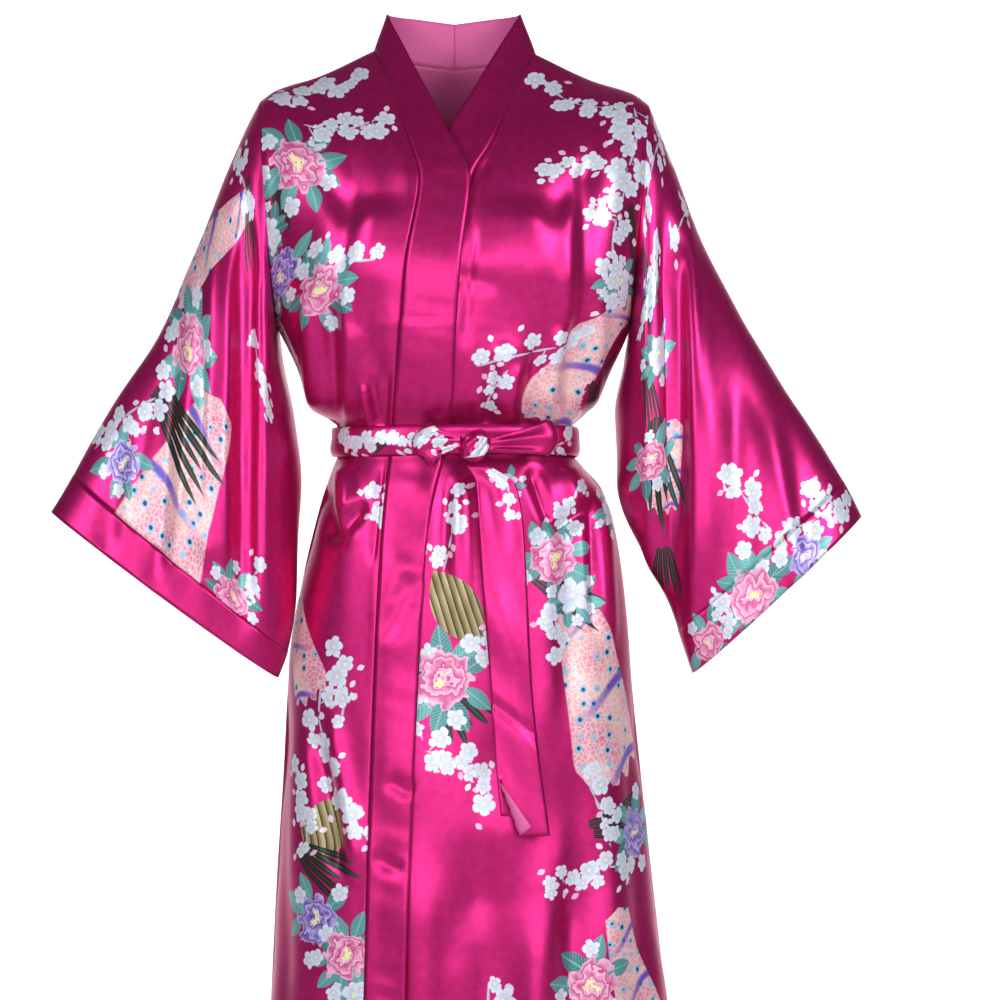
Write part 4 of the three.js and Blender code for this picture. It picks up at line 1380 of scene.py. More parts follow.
@dataclass(frozen=True)
class PlumageForm:
    """How a train, a wing and a spray of feathers are drawn, in shares of their half sizes.

    A line is a slope and a start: how much a value grows along the piece, and what it is at its
    middle or root. A ramp is where it starts and ends, and what it gives there. Clouds are counted
    to the metre.
    """

    clouds: float = 22.0
    cloud_ramp: Four = (0.35, 0.65, 0.0, 1.0)
    eye_order: float = 0.35
    eye_ring: float = 0.27
    eye_heart: float = 0.15
    scale_ramp: Four = (0.14, 0.04, 0.0, 0.6)
    strokes: float = 8.5
    stroke_sway: float = 2.6
    stroke_ramp: Four = (0.88, 0.98, 0.0, 1.0)
    stroke_thin: float = 0.2
    stroke_fade: Four = (-0.5, 0.5, 0.0, 0.95)
    bars: float = 3.2
    bar_slant: float = 1.6
    bar_line: float = 0.88
    train_flare: Pair = (0.3, 0.64)
    tip_teeth: float = 14.0
    tip_tooth: float = 0.06
    tip_power: float = 14.0
    root_end: float = -0.9
    edge: float = 0.03
    quill_flare: Pair = (0.72, 0.28)
    quill_count: Pair = (2.5, 7.5)
    quill_end: Pair = (0.12, 0.86)
    quill_turn: float = 2.4
    quill_power: float = 4.0
    quill_width: float = 0.94
    quill_edge: float = 0.12
    shaft_ramp: Four = (0.16, 0.06, 0.0, 1.0)
    barbs: float = 34.0
    barb_slant: float = -2.0
    barb_ramp: Four = (0.8, 1.0, 0.0, 0.5)


@dataclass(frozen=True)
class PrintedSatin(Satin):
    """The same satin with a transfer print: clear edges, flat dye and the cloth's own gloss.

    The print gives the eye white and pink flowers, teal leaves, near-black feathers and pale
    plumage that lie in the weave and not on it. A pair of colours is the deep and the pale one.
    """

    outline: str = "8996BC"
    blossom: tuple[str, str] = ("98A8D2", "DFE2F0")
    peony: tuple[str, str] = ("C2307E", "EFBEDA")
    iris: tuple[str, str] = ("4A2A98", "C9BAF2")
    stamens: str = "EFE9A8"
    leaf: tuple[str, str] = ("0D4656", "7CC3C2")
    bud: tuple[str, str] = ("E3A5C6", "E0E4F2")
    feather: tuple[str, str] = ("0C120E", "35513F")
    twig: str = "B4BDD2"
    train: tuple[str, str] = ("D9809E", "E6B4B4")
    scales: str = "F1DCDD"
    eye: tuple[str, str] = ("8DBEDC", "1B3A6E")
    stroke: str = "5B47B8"
    wing: tuple[str, str] = ("54421F", "C3B582")
    spot_spacing: float = 17.0
    scale_spacing: float = 5.5
    brush: float = 13.0
    flower_form: FlowerForm = FlowerForm()
    frond_form: FrondForm = FrondForm()
    plumage_form: PlumageForm = PlumageForm()

    @staticmethod
    def group(name: str) -> tuple[Any, Any, Any]:
        """Opens a node group that takes a place and gives a colour and how much of it there is.

        Args:
            name: The group's name.

        Returns:
            The tree, its input node's outputs and its output node's inputs.
        """
        tree = bpy.data.node_groups.new(name, "ShaderNodeTree")
        tree.interface.new_socket("Place", in_out="INPUT", socket_type="NodeSocketVector")
        tree.interface.new_socket("Cloth", in_out="INPUT", socket_type="NodeSocketVector")
        tree.interface.new_socket("Color", in_out="OUTPUT", socket_type="NodeSocketColor")
        tree.interface.new_socket("Cover", in_out="OUTPUT", socket_type="NodeSocketFloat")
        given = tree.nodes.new("NodeGroupInput").outputs
        return tree, given, tree.nodes.new("NodeGroupOutput").inputs

    def flower(self) -> Any:
        """Petals in one ring for a blossom and in three for the larger flowers."""
        form = self.flower_form
        tree, given, result = self.group("printed_flower")
        add = partial(self.add, tree)
        code = add("SeparateXYZ", given["Place"], out=2)
        rich = add("GREATER_THAN", code, float(Bloom.PEONY))
        violet = add("GREATER_THAN", code, float(Bloom.IRIS))

        def either(pair: Pair) -> Any:
            """A blossom's value, or the large flowers' one."""
            return add("MULTIPLY_ADD", rich, pair[1] - pair[0], pair[0])

        brush = add("TexNoise", given["Cloth"], out=1, Scale=PER_METRE / self.brush, Detail=1.0)
        brush = add("VectorMath", brush, (0.5, 0.5, 0.5), operation="SUBTRACT")
        brush = add("VectorMath", brush, either(form.wander), operation="MULTIPLY")
        place = add("VectorMath", given["Place"], brush)
        u, v, _ = add("SeparateXYZ", place).node.outputs
        radius = add("SQRT", add("MULTIPLY_ADD", u, u, add("MULTIPLY", v, v)))
        angle = add("ARCTAN2", v, u)
        wave = add("MULTIPLY", angle, either(form.half_petals))
        wave = add("ABSOLUTE", add("COSINE", wave))
        lobes = add("POWER", wave, form.roundness)
        notch = either(form.notch)
        reach = add("MULTIPLY_ADD", lobes, notch, add("SUBTRACT", 1.0, notch))
        share = add("DIVIDE", radius, reach)
        ripple = add("SINE", add("MULTIPLY_ADD", angle, form.ripples, code))
        ripple = add("MULTIPLY", ripple, either(form.ripple))
        layer = add("MULTIPLY_ADD", share, either(form.rings), ripple)
        glow = add("POWER", add("FRACT", layer), either(form.glow))
        shades = []
        for tone in (0, 1):
            large = add("MixRGB", violet, self.colour(self.peony[tone]), self.colour(self.iris[tone]))
            shades.append(add("MixRGB", rich, self.colour(self.blossom[tone]), large))
        dark, pale = shades
        petal = add("MixRGB", glow, dark, pale)
        gap = add("MapRange", lobes, *form.gap_ramp)
        petal = add("MixRGB", gap, petal, add("MixRGB", rich, self.colour(self.outline), dark))
        rim = add("MapRange", share, *form.rim_ramp)
        petal = add("MixRGB", rim, petal, add("MixRGB", rich, self.colour(self.outline), pale))
        spikes = add("COSINE", add("MULTIPLY", angle, form.stamens))
        heart = add("MULTIPLY_ADD", spikes, form.heart_spikes, form.heart)
        centre = add("LESS_THAN", share, heart)
        tree.links.new(add("MixRGB", centre, petal, self.colour(self.stamens)), result["Color"])
        tree.links.new(add("MapRange", share, 1.0, form.edge, 0.0, 1.0), result["Cover"])
        return tree

    def frond(self) -> Any:
        """Lens-shaped leaves with a midrib and slanted veins, buds and twigs."""
        form = self.frond_form
        tree, given, result = self.group("printed_frond")
        add = partial(self.add, tree)
        u, v, code = add("SeparateXYZ", given["Place"]).node.outputs
        off = add("ABSOLUTE", v)
        half = add("SUBTRACT", 1.0, add("MULTIPLY", u, u))
        room = add("SUBTRACT", half, off)
        slant = add("MULTIPLY", off, form.vein_slant)
        veins = add("FRACT", add("MULTIPLY_ADD", u, form.veins, slant))
        tone = add("FRACT", code)
        share = add("MULTIPLY", tone, form.tone_share)
        share = add("MULTIPLY_ADD", veins, form.vein_share, share)
        colour = add("MixRGB", share, self.colour(self.leaf[0]), self.colour(self.leaf[1]))
        rib = add("MapRange", off, *form.rib_ramp)
        colour = add("MixRGB", rib, colour, self.colour(self.leaf[1]))
        bud = add("MixRGB", tone, self.colour(self.bud[0]), self.colour(self.bud[1]))
        for kind, shade in ((Frond.BUD, bud), (Frond.TWIG, self.colour(self.twig))):
            colour = add("MixRGB", add("GREATER_THAN", code, float(kind)), colour, shade)
        tree.links.new(colour, result["Color"])
        tree.links.new(add("MapRange", room, 0.0, form.edge, 0.0, 1.0), result["Cover"])
        return tree

    def train_colour(self, add: Any, cloth: Any, u: Any, v: Any) -> Any:
        """A train's scales and eye spots, with violet strokes across."""
        form = self.plumage_form
        cloud = add("TexNoise", cloth, Scale=form.clouds, Detail=1.0)
        cloud = add("MapRange", cloud, *form.cloud_ramp)
        colour = add("MixRGB", cloud, self.colour(self.train[0]), self.colour(self.train[1]))
        scales = add("TexVoronoi", cloth, feature="DISTANCE_TO_EDGE", Scale=PER_METRE / self.scale_spacing)
        scales = add("MapRange", scales, *form.scale_ramp)
        colour = add("MixRGB", scales, colour, self.colour(self.scales))
        spots = add("TexVoronoi", cloth, Scale=PER_METRE / self.spot_spacing, Randomness=form.eye_order)
        for size, shade in zip((form.eye_ring, form.eye_heart), self.eye):
            spot = add("LESS_THAN", spots, size)
            colour = add("MixRGB", spot, colour, self.colour(shade))
        sway = add("SINE", add("MULTIPLY", v, form.stroke_sway))
        wave = add("SINE", add("MULTIPLY_ADD", u, form.strokes, sway))
        reach = add("MULTIPLY_ADD", wave, form.stroke_thin, v)
        reach = add("MapRange", reach, *form.stroke_fade)
        stroke = add("MapRange", wave, *form.stroke_ramp)
        stroke = add("MULTIPLY", stroke, reach)
        return add("MixRGB", stroke, colour, self.colour(self.stroke))

    def wing_colour(self, add: Any, u: Any, v: Any) -> Any:
        """A wing's slanted bars, each with a dark line."""
        form = self.plumage_form
        slant = add("MULTIPLY", u, form.bar_slant)
        bars = add("FRACT", add("MULTIPLY_ADD", v, form.bars, slant))
        colour = add("MixRGB", bars, self.colour(self.wing[0]), self.colour(self.wing[1]))
        line = add("GREATER_THAN", bars, form.bar_line)
        return add("MixRGB", line, colour, self.colour(self.feather[0]))

    def broad_cover(self, add: Any, u: Any, v: Any, wing: Any) -> Any:
        """The outline of a train, a fan with a toothed tip, or of a wing, a lens."""
        form = self.plumage_form
        teeth = add("SINE", add("MULTIPLY", v, form.tip_teeth))
        tip = add("MULTIPLY_ADD", teeth, form.tip_tooth, u)
        tip = add("POWER", tip, form.tip_power)
        ahead = add("GREATER_THAN", u, 0.0)
        tip = add("SUBTRACT", 1.0, add("MULTIPLY", ahead, tip))
        flare = add("MULTIPLY_ADD", u, *form.train_flare)
        root = add("MapRange", u, -1.0, form.root_end, 0.0, 1.0)
        fan = add("MULTIPLY", add("MULTIPLY", flare, tip), root)
        lens = add("SUBTRACT", 1.0, add("MULTIPLY", u, u))
        half = add("Mix", wing, None, fan, lens)
        room = add("SUBTRACT", half, add("ABSOLUTE", v))
        return add("MapRange", room, 0.0, form.edge, 0.0, 1.0)

    def feathers(self, add: Any, u: Any, v: Any) -> tuple[Any, Any]:
        """A fan of single feathers: their colour, and where they lie."""
        form = self.plumage_form
        length = add("MULTIPLY_ADD", u, 0.5, 0.5)
        flare = add("MULTIPLY_ADD", length, *form.quill_flare)
        spread = add("DIVIDE", v, flare)
        number = add("MULTIPLY_ADD", spread, *form.quill_count)
        across = add("MULTIPLY_ADD", add("FRACT", number), 2.0, -1.0)
        across = add("ABSOLUTE", across)
        which = add("FLOOR", number)
        which = add("SINE", add("MULTIPLY", which, form.quill_turn))
        ends = add("MULTIPLY_ADD", which, *form.quill_end)
        taper = add("POWER", add("DIVIDE", length, ends), form.quill_power)
        taper = add("SUBTRACT", form.quill_width, taper)
        room = add("SUBTRACT", taper, across)
        blade = add("MapRange", room, 0.0, form.quill_edge, 0.0, 1.0)
        within = add("LESS_THAN", add("ABSOLUTE", spread), 1.0)
        cover = add("MULTIPLY", blade, within)
        shaft = add("MapRange", across, *form.shaft_ramp)
        slant = add("MULTIPLY", across, form.barb_slant)
        barbs = add("FRACT", add("MULTIPLY_ADD", length, form.barbs, slant))
        barbs = add("MapRange", barbs, *form.barb_ramp)
        share = add("MAXIMUM", shaft, barbs)
        return add("MixRGB", share, self.colour(self.feather[0]), self.colour(self.feather[1])), cover

    def plumage(self) -> Any:
        """A train with eye spots and violet strokes, a barred wing, or a fan of dark feathers."""
        tree, given, result = self.group("printed_plumage")
        add = partial(self.add, tree)
        u, v, code = add("SeparateXYZ", given["Place"]).node.outputs
        wing = add("GREATER_THAN", code, float(Plume.WING))
        quills = add("GREATER_THAN", code, float(Plume.FEATHERS))
        train = self.train_colour(add, given["Cloth"], u, v)
        colour = add("MixRGB", wing, train, self.wing_colour(add, u, v))
        dark, blades = self.feathers(add, u, v)
        tree.links.new(add("MixRGB", quills, colour, dark), result["Color"])
        broad = self.broad_cover(add, u, v, wing)
        tree.links.new(add("Mix", quills, None, broad, blades), result["Cover"])
        return tree

    def colour_of_cloth(self, tree: Any, cloth: Any) -> tuple[Any, Any]:
        """The dyed ground with the print's layers on it, and how much of it they cover."""
        colour, printed = super().colour_of_cloth(tree, cloth)
        groups = {Plume: self.plumage(), Frond: self.frond(), Bloom: self.flower()}
        for kind, names in PRINT_LAYERS.items():
            for name in names:
                place = self.add(tree, "Attribute", out="Vector", attribute_name=name)
                motif = self.add(tree, "Group", node_tree=groups[kind])
                tree.links.new(place, motif.node.inputs["Place"])
                tree.links.new(cloth, motif.node.inputs["Cloth"])
                cover = motif.node.outputs["Cover"]
                colour = self.add(tree, "MixRGB", cover, colour, motif)
                printed = self.add(tree, "MAXIMUM", cover, 0.0 if printed is None else printed)
        return colour, printed


BACK_NODES = tuple(f"{half.name}_back_{part}" for half in HALVES for part in ("skirt", "bodice"))


@dataclass
class Panels:
    """Back, fronts, neckbands, sleeves and cuffs, cut and sewn round the worn form.

    Lengths are in mm. The pucker's swells and waves are lengths divided by 2 pi, its slants,
    starts and shares are turns in radians, and its strength and fall are shares. Least area, a
    share of a sheet's width by length, is not used. Least area is the smallest share of a
    sheet's width by length that its area is given as.
    """

    printed: Satin
    band: Satin
    step: float = 4.0
    back_step: float = 4.7
    hem_z: float = -1350.0
    yoke_levels: int = 64
    cuff_at: float = 0.9
    seam_gap: float = 0.2
    underarm_gap: float = 1.4
    underarm: Pair = (0.2, 1.2)
    single: float = 0.9
    double: float = 1.6
    sewn_fade: float = 0.05
    seam_rows: int = 12
    half_girth: float = 330.0
    back_parts: int = 14
    band_columns: int = 11
    band_fade: Pair = (60.0, 0.35)
    pucker: float = 1.1
    pucker_swells: Pair = (97.0, 41.0)
    pucker_waves: Three = (5.1, 23.0, 11.7)
    pucker_slants: Pair = (3.1, 4.0)
    pucker_shares: Pair = (2.2, 0.6)
    pucker_strength: Pair = (0.55, 0.45)
    pucker_starts: Pair = (1.0, 1.3)
    pucker_fall: Three = (0.6, 0.4, 3.0)
    sleeve_girth: float = 350.0
    sleeve_length: float = 500.0
    seam_fades: Pair = (0.12, 0.1)
    least_area: float = 0.31

    def heights(self, step: float) -> Array:
        """Rows from hem to armpit, a step apart."""
        armpit = RIGHT_HALF.body.armpit_z
        return np.linspace(self.hem_z, armpit, int((armpit - self.hem_z) / step) + 1)

    def levels(self) -> Array:
        """Rows from armpit to shoulder, without the first."""
        return np.linspace(0, 1, self.yoke_levels + 1)[1:]

    def draped(self, grid: Array, drape: Drape, wraps: bool = False) -> Array:
        """Presses creases into a grid, none at its side edges, where it is sewn."""
        rows, columns = grid.shape[:2]
        share = np.ones((rows, columns))
        if not wraps:
            share *= smooth(np.arange(rows)[::-1] / self.seam_rows)[:, None]
            place = np.linspace(0, 1, columns)
            share *= (smooth(place / self.sewn_fade) * smooth((1 - place) / self.sewn_fade))[None]
        cloth = Cloth("", grid, Slot.PRINTED, (), wraps=wraps)
        return drape.press(grid, cloth.outward(), wraps, share)

    def trimmed(self, grid: Array) -> Array:
        """Draws the side edges in by the seam gap."""
        grid = grid.copy()
        for edge, beside in ((0, 1), (-1, -2)):
            inward = grid[:, beside] - grid[:, edge]
            length = np.maximum(np.linalg.norm(inward, axis=1, keepdims=True), 1e-6)
            grid[:, edge] += inward / length * self.seam_gap
        return grid

    def front(self, half: Half) -> Array:
        """A front panel, from the band seam to the side seam."""
        across = np.linspace(0, 1, int(self.half_girth / self.step))
        lower = half.panel_points(across, self.heights(self.step))
        grid = np.concatenate([lower, half.front_yoke(across, self.levels())])
        return self.trimmed(self.draped(grid, BODY_DRAPE))

    def back(self) -> Array:
        """The back panel, from the right side seam to the left one."""
        columns = int(self.half_girth / self.back_step / self.back_parts) * self.back_parts
        across = np.arange(columns + 1) / columns
        sides = []
        for half in HALVES:
            lower = half.body.points(half.side_angle * (2 - across), self.heights(self.back_step)[:, None])
            sides.append(np.concatenate([lower, half.back_yoke(across, self.levels())]))
        right, left = sides
        return self.trimmed(self.draped(np.concatenate([right[:, :0:-1], left], axis=1), BODY_DRAPE))

    def neckband(self, half: Half) -> Array:
        """A neckband half, from its seam to its free edge, up from the hem to the centre back."""
        across = np.linspace(0, 1, self.band_columns)
        z = self.heights(self.step)
        seam, free = (half.body.front_angle(half.edge.at(edge, z), z)[:, None] for edge in ("seam", "free"))
        lower = half.body.points(seam + (free - seam) * across, z[:, None], half.lift)
        levels = np.concatenate([self.levels(), 1 + self.levels()])
        seam, free = half.neck_edge("seam", levels), half.neck_edge("free", levels)
        upper = seam[:, None] + (free - seam)[:, None] * across[None, :, None]
        grid = self.trimmed(np.concatenate([lower, upper]))
        height, width = self.band_fade
        share = smooth((half.body.armpit_z - grid[..., 2]) / height) * smooth(across / width)[None]
        outward = Cloth("", grid, Slot.BAND, ()).outward()
        grid = self.puckered(BODY_DRAPE.press(grid, outward, False, share))
        grid[-1, :, 0] += half.side * self.seam_gap
        return grid

    def puckered(self, grid: Array) -> Array:
        """Puckers the band between its seam and its stitched free edge, unevenly."""
        rows, columns = grid.shape[:2]
        across = np.linspace(0, 1, columns)[None]
        z = grid[:, :1, 2]
        slow, slower = self.pucker_swells
        short, bend, long = self.pucker_waves
        lean, back_lean = self.pucker_slants
        sway, share = self.pucker_shares
        start, long_start = self.pucker_starts
        even, uneven = self.pucker_strength
        strength = even + uneven * np.sin(z / slow) * np.sin(z / slower + start)
        ripple = np.sin(z / short + lean * across + sway * np.sin(z / bend))
        ripple = ripple + share * np.sin(z / long - back_lean * across + long_start)
        even, uneven, fall = self.pucker_fall
        push = self.pucker * strength * ripple * smooth(across) * (even + uneven * np.cos(across * fall))
        normals = grid_normals(grid) * Cloth("", grid, Slot.BAND, ()).outward()
        return grid + normals * push[..., None]

    def sleeve(self, half: Half, start: float, end: float) -> Array:
        """A tube of the sleeve, round from the underarm by the outer fold."""
        turn = np.linspace(-math.pi, math.pi, int(self.sleeve_girth / self.step) * 2, endpoint=False)
        at = np.linspace(start, end, max(3, int((end - start) * self.sleeve_length / self.step)))
        gap_fade, crease_fade = self.seam_fades
        rows = [half.sleeve_points(np.full(turn.shape, share), turn) for share in at]
        grid = np.stack(rows)
        edge, width = self.underarm
        near = self.underarm_gap * smooth((edge - np.cos(turn)) / width)
        grid[..., 0] += half.side * near[None] * (1 - smooth(at / gap_fade))[:, None]
        creased = self.draped(grid, SLEEVE_DRAPE, True)
        return grid + (creased - grid) * smooth(at / crease_fade)[:, None, None]

    @staticmethod
    def drawn(cloth: Cloth, drawings: tuple[Drawing, ...]) -> list[Motif]:
        """Every motif of some drawings, laid out on a cloth."""
        chance = random.Random(SEED + len(cloth.name))
        groups = [drawing.draw(cloth, chance) for drawing in drawings]
        return [motif for group in groups for motif in group]

    def declare(self, cloth: Cloth, finish: Satin, held: str, rests_on: list[str]) -> None:
        """Builds a cloth in its satin.

        Args:
            cloth: The cloth.
            finish: Its satin.
            held: How it is held; not used.
            rests_on: The nodes that carry it; not used.
        """
        piece = cloth.build(finish.made(), finish.made(reverse=True))
        flat = cloth.lay_flat()
        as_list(rests_on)

    def build(self) -> None:
        """Builds every panel."""
        back = Cloth("back_cloth", self.back(), Slot.PRINTED, BACK_NODES, self.single)
        back.zero = back.grid.shape[1] // 2
        back.motifs = self.drawn(back, BACK_PRINT)
        self.declare(back, self.printed, "hung", ["left_neckband_back", "right_neckband_back"])
        for half in HALVES:
            self.build_front(half)
            self.build_sleeve(half)

    def build_front(self, half: Half) -> None:
        """Builds a front and its half of the neckband."""
        name = half.name
        front = Cloth(
            f"{name}_front_cloth", self.front(half), Slot.PRINTED,
            (f"{name}_front_skirt", f"{name}_front_bodice"), self.single,
        )
        front.motifs = self.drawn(front, FRONT_PRINTS[half.side])
        self.declare(front, self.printed, "hung", [f"{name}_back_bodice"])
        band = Cloth(
            f"{name}_neckband_cloth", self.neckband(half), Slot.BAND,
            tuple(f"{name}_neckband_{part}" for part in ("skirt", "front", "back")), self.double,
        )
        self.declare(band, self.band, "hung", [f"{name}_front_bodice", f"{name}_back_bodice"])

    def build_sleeve(self, half: Half) -> None:
        """Builds a sleeve and its cuff band. The left sleeve's print runs on over its band."""
        name = half.name
        whole = Cloth(f"{name}_whole_sleeve", self.sleeve(half, 0, 1), Slot.PRINTED, (), wraps=True)
        whole.zero = whole.grid.shape[1] // 2
        motifs = self.drawn(whole, SLEEVE_PRINTS[half.side])
        sleeve = Cloth(
            f"{name}_sleeve_cloth", self.sleeve(half, 0, self.cuff_at), Slot.PRINTED,
            (f"{name}_sleeve_front", f"{name}_sleeve_back"), self.single, True, whole.zero, motifs,
        )
        self.declare(sleeve, self.printed, "hung", [f"{name}_back_bodice", f"{name}_front_bodice"])
        cuff = Cloth(
            f"{name}_cuff_cloth", self.sleeve(half, self.cuff_at, 1), Slot.BAND,
            (f"{name}_cuff_band",), self.double, True, whole.zero,
        )
        finish = self.band
        if half is LEFT_HALF:
            seam = float(sleeve.lay_flat()[-1, 0, 1])
            cuff.motifs = [replace(motif, v=motif.v - seam) for motif in motifs]
            finish = self.printed
        self.declare(cuff, finish, "hung", [f"{name}_sleeve_front"])


@dataclass(frozen=True)
class BowLoop:
    """A bow loop, out from the knot in front and back behind. Lengths are in mm.

    It leaves the knot at start, reaches out and rises. Its half width goes from narrow to wide,
    and its far end is rounded. Folds gives the folds across and where they begin, and twist the
    height, the waves across and the waves along.
    """

    start: float
    reach: float
    z: float
    rise: float
    narrow: float
    wide: float
    rounding: float
    rows: int = 70
    columns: int = 13
    blunt: float = 0.8
    apart: float = 3.0
    folds: Pair = (5.2, 0.8)
    fold_loss: float = 0.9
    twist: Three = (1.2, 2.4, 5.0)
    sewn: float = 0.25


@dataclass(frozen=True)
class HangingEnd:
    """A hanging end of the sash. Lengths are in mm.

    Sway is a height, waves across and a length, and flutter a height, length, waves across and
    swell. The slanting fold has a depth, a width and the heights where it ends, low and high, and
    the groove a depth, place, width and start. Fades are how far these three ends reach.
    """

    lift: float
    bottom: float
    behind_knot: float
    rows: int = 90
    columns: int = 15
    fall: float = 34.0
    sway: Three = (1.6, 2.4, 60.0)
    flutter: Four = (1.1, 19.0, 2.0, 83.0)
    fold_at: Pair = (63.0, -716.0)
    fold_lean: Pair = (0.6, 0.8)
    fold: Four = (2.6, 5.0, -800.0, -640.0)
    groove: Four = (4.0, 0.1, 0.08, -560.0)
    fades: Three = (60.0, 40.0, 90.0)


@dataclass(frozen=True)
class Knot:
    """The knot's outline and ridges, in shares of its half sizes. Lean and drop are in mm.

    Bulge is the outline's power, its share and the power that rounds it. Ridge and cross give a
    height, a number, and the bend and its waves, or the slant.
    """

    rows: int = 44
    columns: int = 96
    bulge: Three = (2.6, 0.92, 0.5)
    slant: float = 0.5
    ridge: Four = (0.09, 7.0, 1.2, 2.0)
    cross: Three = (0.06, 4.0, 1.4)
    squareness: float = 0.75
    width: float = 0.9
    lean: float = 3.0
    tilt: Pair = (0.1, 0.6)
    drop: float = 1.5


@dataclass
class Sash:
    """The sash: a stretch round the waist, the knot, two bow loops and two hanging ends.

    Lengths are in mm. The stretch round the waist is crumpled, drawn in at its edges and sways.
    """

    finish: Satin
    printed: Satin
    panels: Panels
    top: float = -406.0
    bottom: float = -438.0
    lift: float = 7.0
    wall: float = 3.0
    belly: float = 1.5
    crumple: float = 1.3
    crumple_waves: Three = (6.9, 1.6, 0.5)
    crumple_swell: Four = (0.6, 0.4, 3.0, 1.0)
    edge_in: Pair = (1.6, 6.0)
    sway: Pair = (1.2, 0.6)
    wrap_rows: int = 15
    wrap_columns: int = 220
    gather: float = 2.4
    leaf_depth: float = 9.0
    corner: Pair = (17.0, 46.0)
    corner_rise: Pair = (4.5, 4.0)
    knot_x: float = 24.0
    knot_z: float = -427.0
    knot_half: Three = (15.0, 12.0, 16.0)
    knot_gap: float = 0.6
    knot_form: Knot = Knot()
    right_loop: BowLoop = BowLoop(11, -54, -424, -2, 6, 23, 0.4)
    left_loop: BowLoop = BowLoop(37, 76, -427, 8, 6, 20, 0.14)
    front_end: HangingEnd = HangingEnd(15, -841, -1.2)
    rear_end: HangingEnd = HangingEnd(9, -820, 1.2)
    body: Body = Body()

    def front_y(self, x: Array, z: Array, lift: float) -> Array:
        """How far forward the body's front lies at a place."""
        return self.body.points(self.body.front_angle(x, z), z, lift)[..., 1]

    def knot_y(self) -> float:
        """How far forward the knot's middle lies."""
        middle = np.array((self.top + self.bottom) / 2)
        over = self.front_y(np.array(self.knot_x), middle, self.lift + self.wall)
        return float(over) - self.knot_half[1] - self.knot_gap

    def wrap(self) -> Array:
        """The stretch round the waist."""
        angle = np.linspace(-math.pi, math.pi, self.wrap_columns, endpoint=False)
        middle = (self.top + self.bottom) / 2
        up, bend, start = self.crumple_waves
        even, swell, waves, swell_start = self.crumple_swell
        edge, steep = self.edge_in
        sway, begin = self.sway
        rows = []
        for part in np.linspace(0, 1, self.wrap_rows):
            lift = self.lift + self.belly * math.sin(math.pi * part)
            crumple = np.sin(up * part + bend * np.sin(2 * angle) + start)
            crumple = crumple * (even + swell * np.sin(waves * angle + swell_start))
            lift = lift + self.crumple * crumple - edge * (2 * part - 1) ** steep
            row = self.body.points(angle, np.full(angle.shape, middle), lift)
            row[:, 2] = self.bottom + (self.top - self.bottom) * part + sway * np.sin(2 * angle + begin)
            rows.append(row)
        return np.stack(rows)

    def loop(self, form: BowLoop) -> Array:
        """A bow loop's grid, from the knot out in front and back behind."""
        share = np.linspace(0, 1, form.rows)
        across = np.linspace(-1, 1, form.columns)[None]
        swell = np.sin(math.pi * share)
        out = swell**form.blunt
        half = form.narrow + (form.wide - form.narrow) * swell
        depth = self.leaf_depth * np.sin(2 * math.pi * share)
        y = self.knot_y() - form.apart * np.cos(math.pi * share) - depth
        number, begin = form.folds
        folds = np.sin(number * across + begin) * (1 - form.fold_loss * swell[:, None]) * self.gather
        height, waves, along = form.twist
        folds = folds + height * np.sin(waves * across + along * share[:, None])
        drawn_in = 1 - form.rounding * swell[:, None] * across**2
        facing = np.cos(math.pi * share)[:, None]
        return points_of(
            form.start + form.reach * out[:, None] * drawn_in,
            y[:, None] - folds * facing * smooth(swell / form.sewn)[:, None],
            (form.z + form.rise * out)[:, None] + half[:, None] * across,
        )

    def end(self, form: HangingEnd) -> Array:
        """A hanging end's grid, from its hem up to the knot."""
        top = float(SASH_END.keys()[-1])
        z = np.linspace(form.bottom, top, form.rows)[:, None]
        across = np.linspace(0, 1, form.columns)[None]
        left, right = SASH_END.at("left", z), SASH_END.at("right", z)
        x = left + (right - left) * across
        z = np.broadcast_to(z, x.shape)
        under = self.knot_y() + form.behind_knot
        fallen = smooth((top - z) / form.fall)
        y = under + (self.front_y(x, z, form.lift) - under) * fallen
        place = across * 2 - 1
        height, waves, length = form.sway
        quick, quick_length, quick_waves, swell = form.flutter
        wave = height * np.sin(waves * place + z / length)
        y = y - fallen * (wave + quick * np.sin(z / quick_length + quick_waves * place) * np.sin(z / swell))
        low_fade, high_fade, groove_fade = form.fades
        depth, width, low, high = form.fold
        slant = (x - form.fold_at[0]) * form.fold_lean[0] + (z - form.fold_at[1]) * form.fold_lean[1]
        fold = depth * np.exp(-((slant / width) ** 2))
        y = y + fold * smooth((z - low) / low_fade) * smooth((high - z) / high_fade)
        depth, middle, width, start = form.groove
        groove = depth * np.exp(-((place - middle) ** 2) / width)
        return points_of(x, y - groove * smooth((z - start) / groove_fade) * fallen, z)

    def turned_corner(self, grid: Array, bottom: float) -> Array:
        """Turns the hem's right corner over to the front, so that the wrong side shows.

        Args:
            grid: The end's grid, hem first.
            bottom: The height of its hem.

        Returns:
            The grid with its corner turned.
        """
        width, height = self.corner
        rise, run = self.corner_rise
        corner = grid[0, 0]
        normal = np.array([height, width]) / math.hypot(width, height)
        beyond = width * normal[0] - (grid[..., 0] - corner[0]) * normal[0]
        over = np.maximum(beyond - (grid[..., 2] - bottom) * normal[1], 0)
        turned = grid.copy()
        turned[..., 0] += 2 * over * normal[0]
        turned[..., 2] += 2 * over * normal[1]
        turned[..., 1] -= rise * smooth(over / run)
        return turned

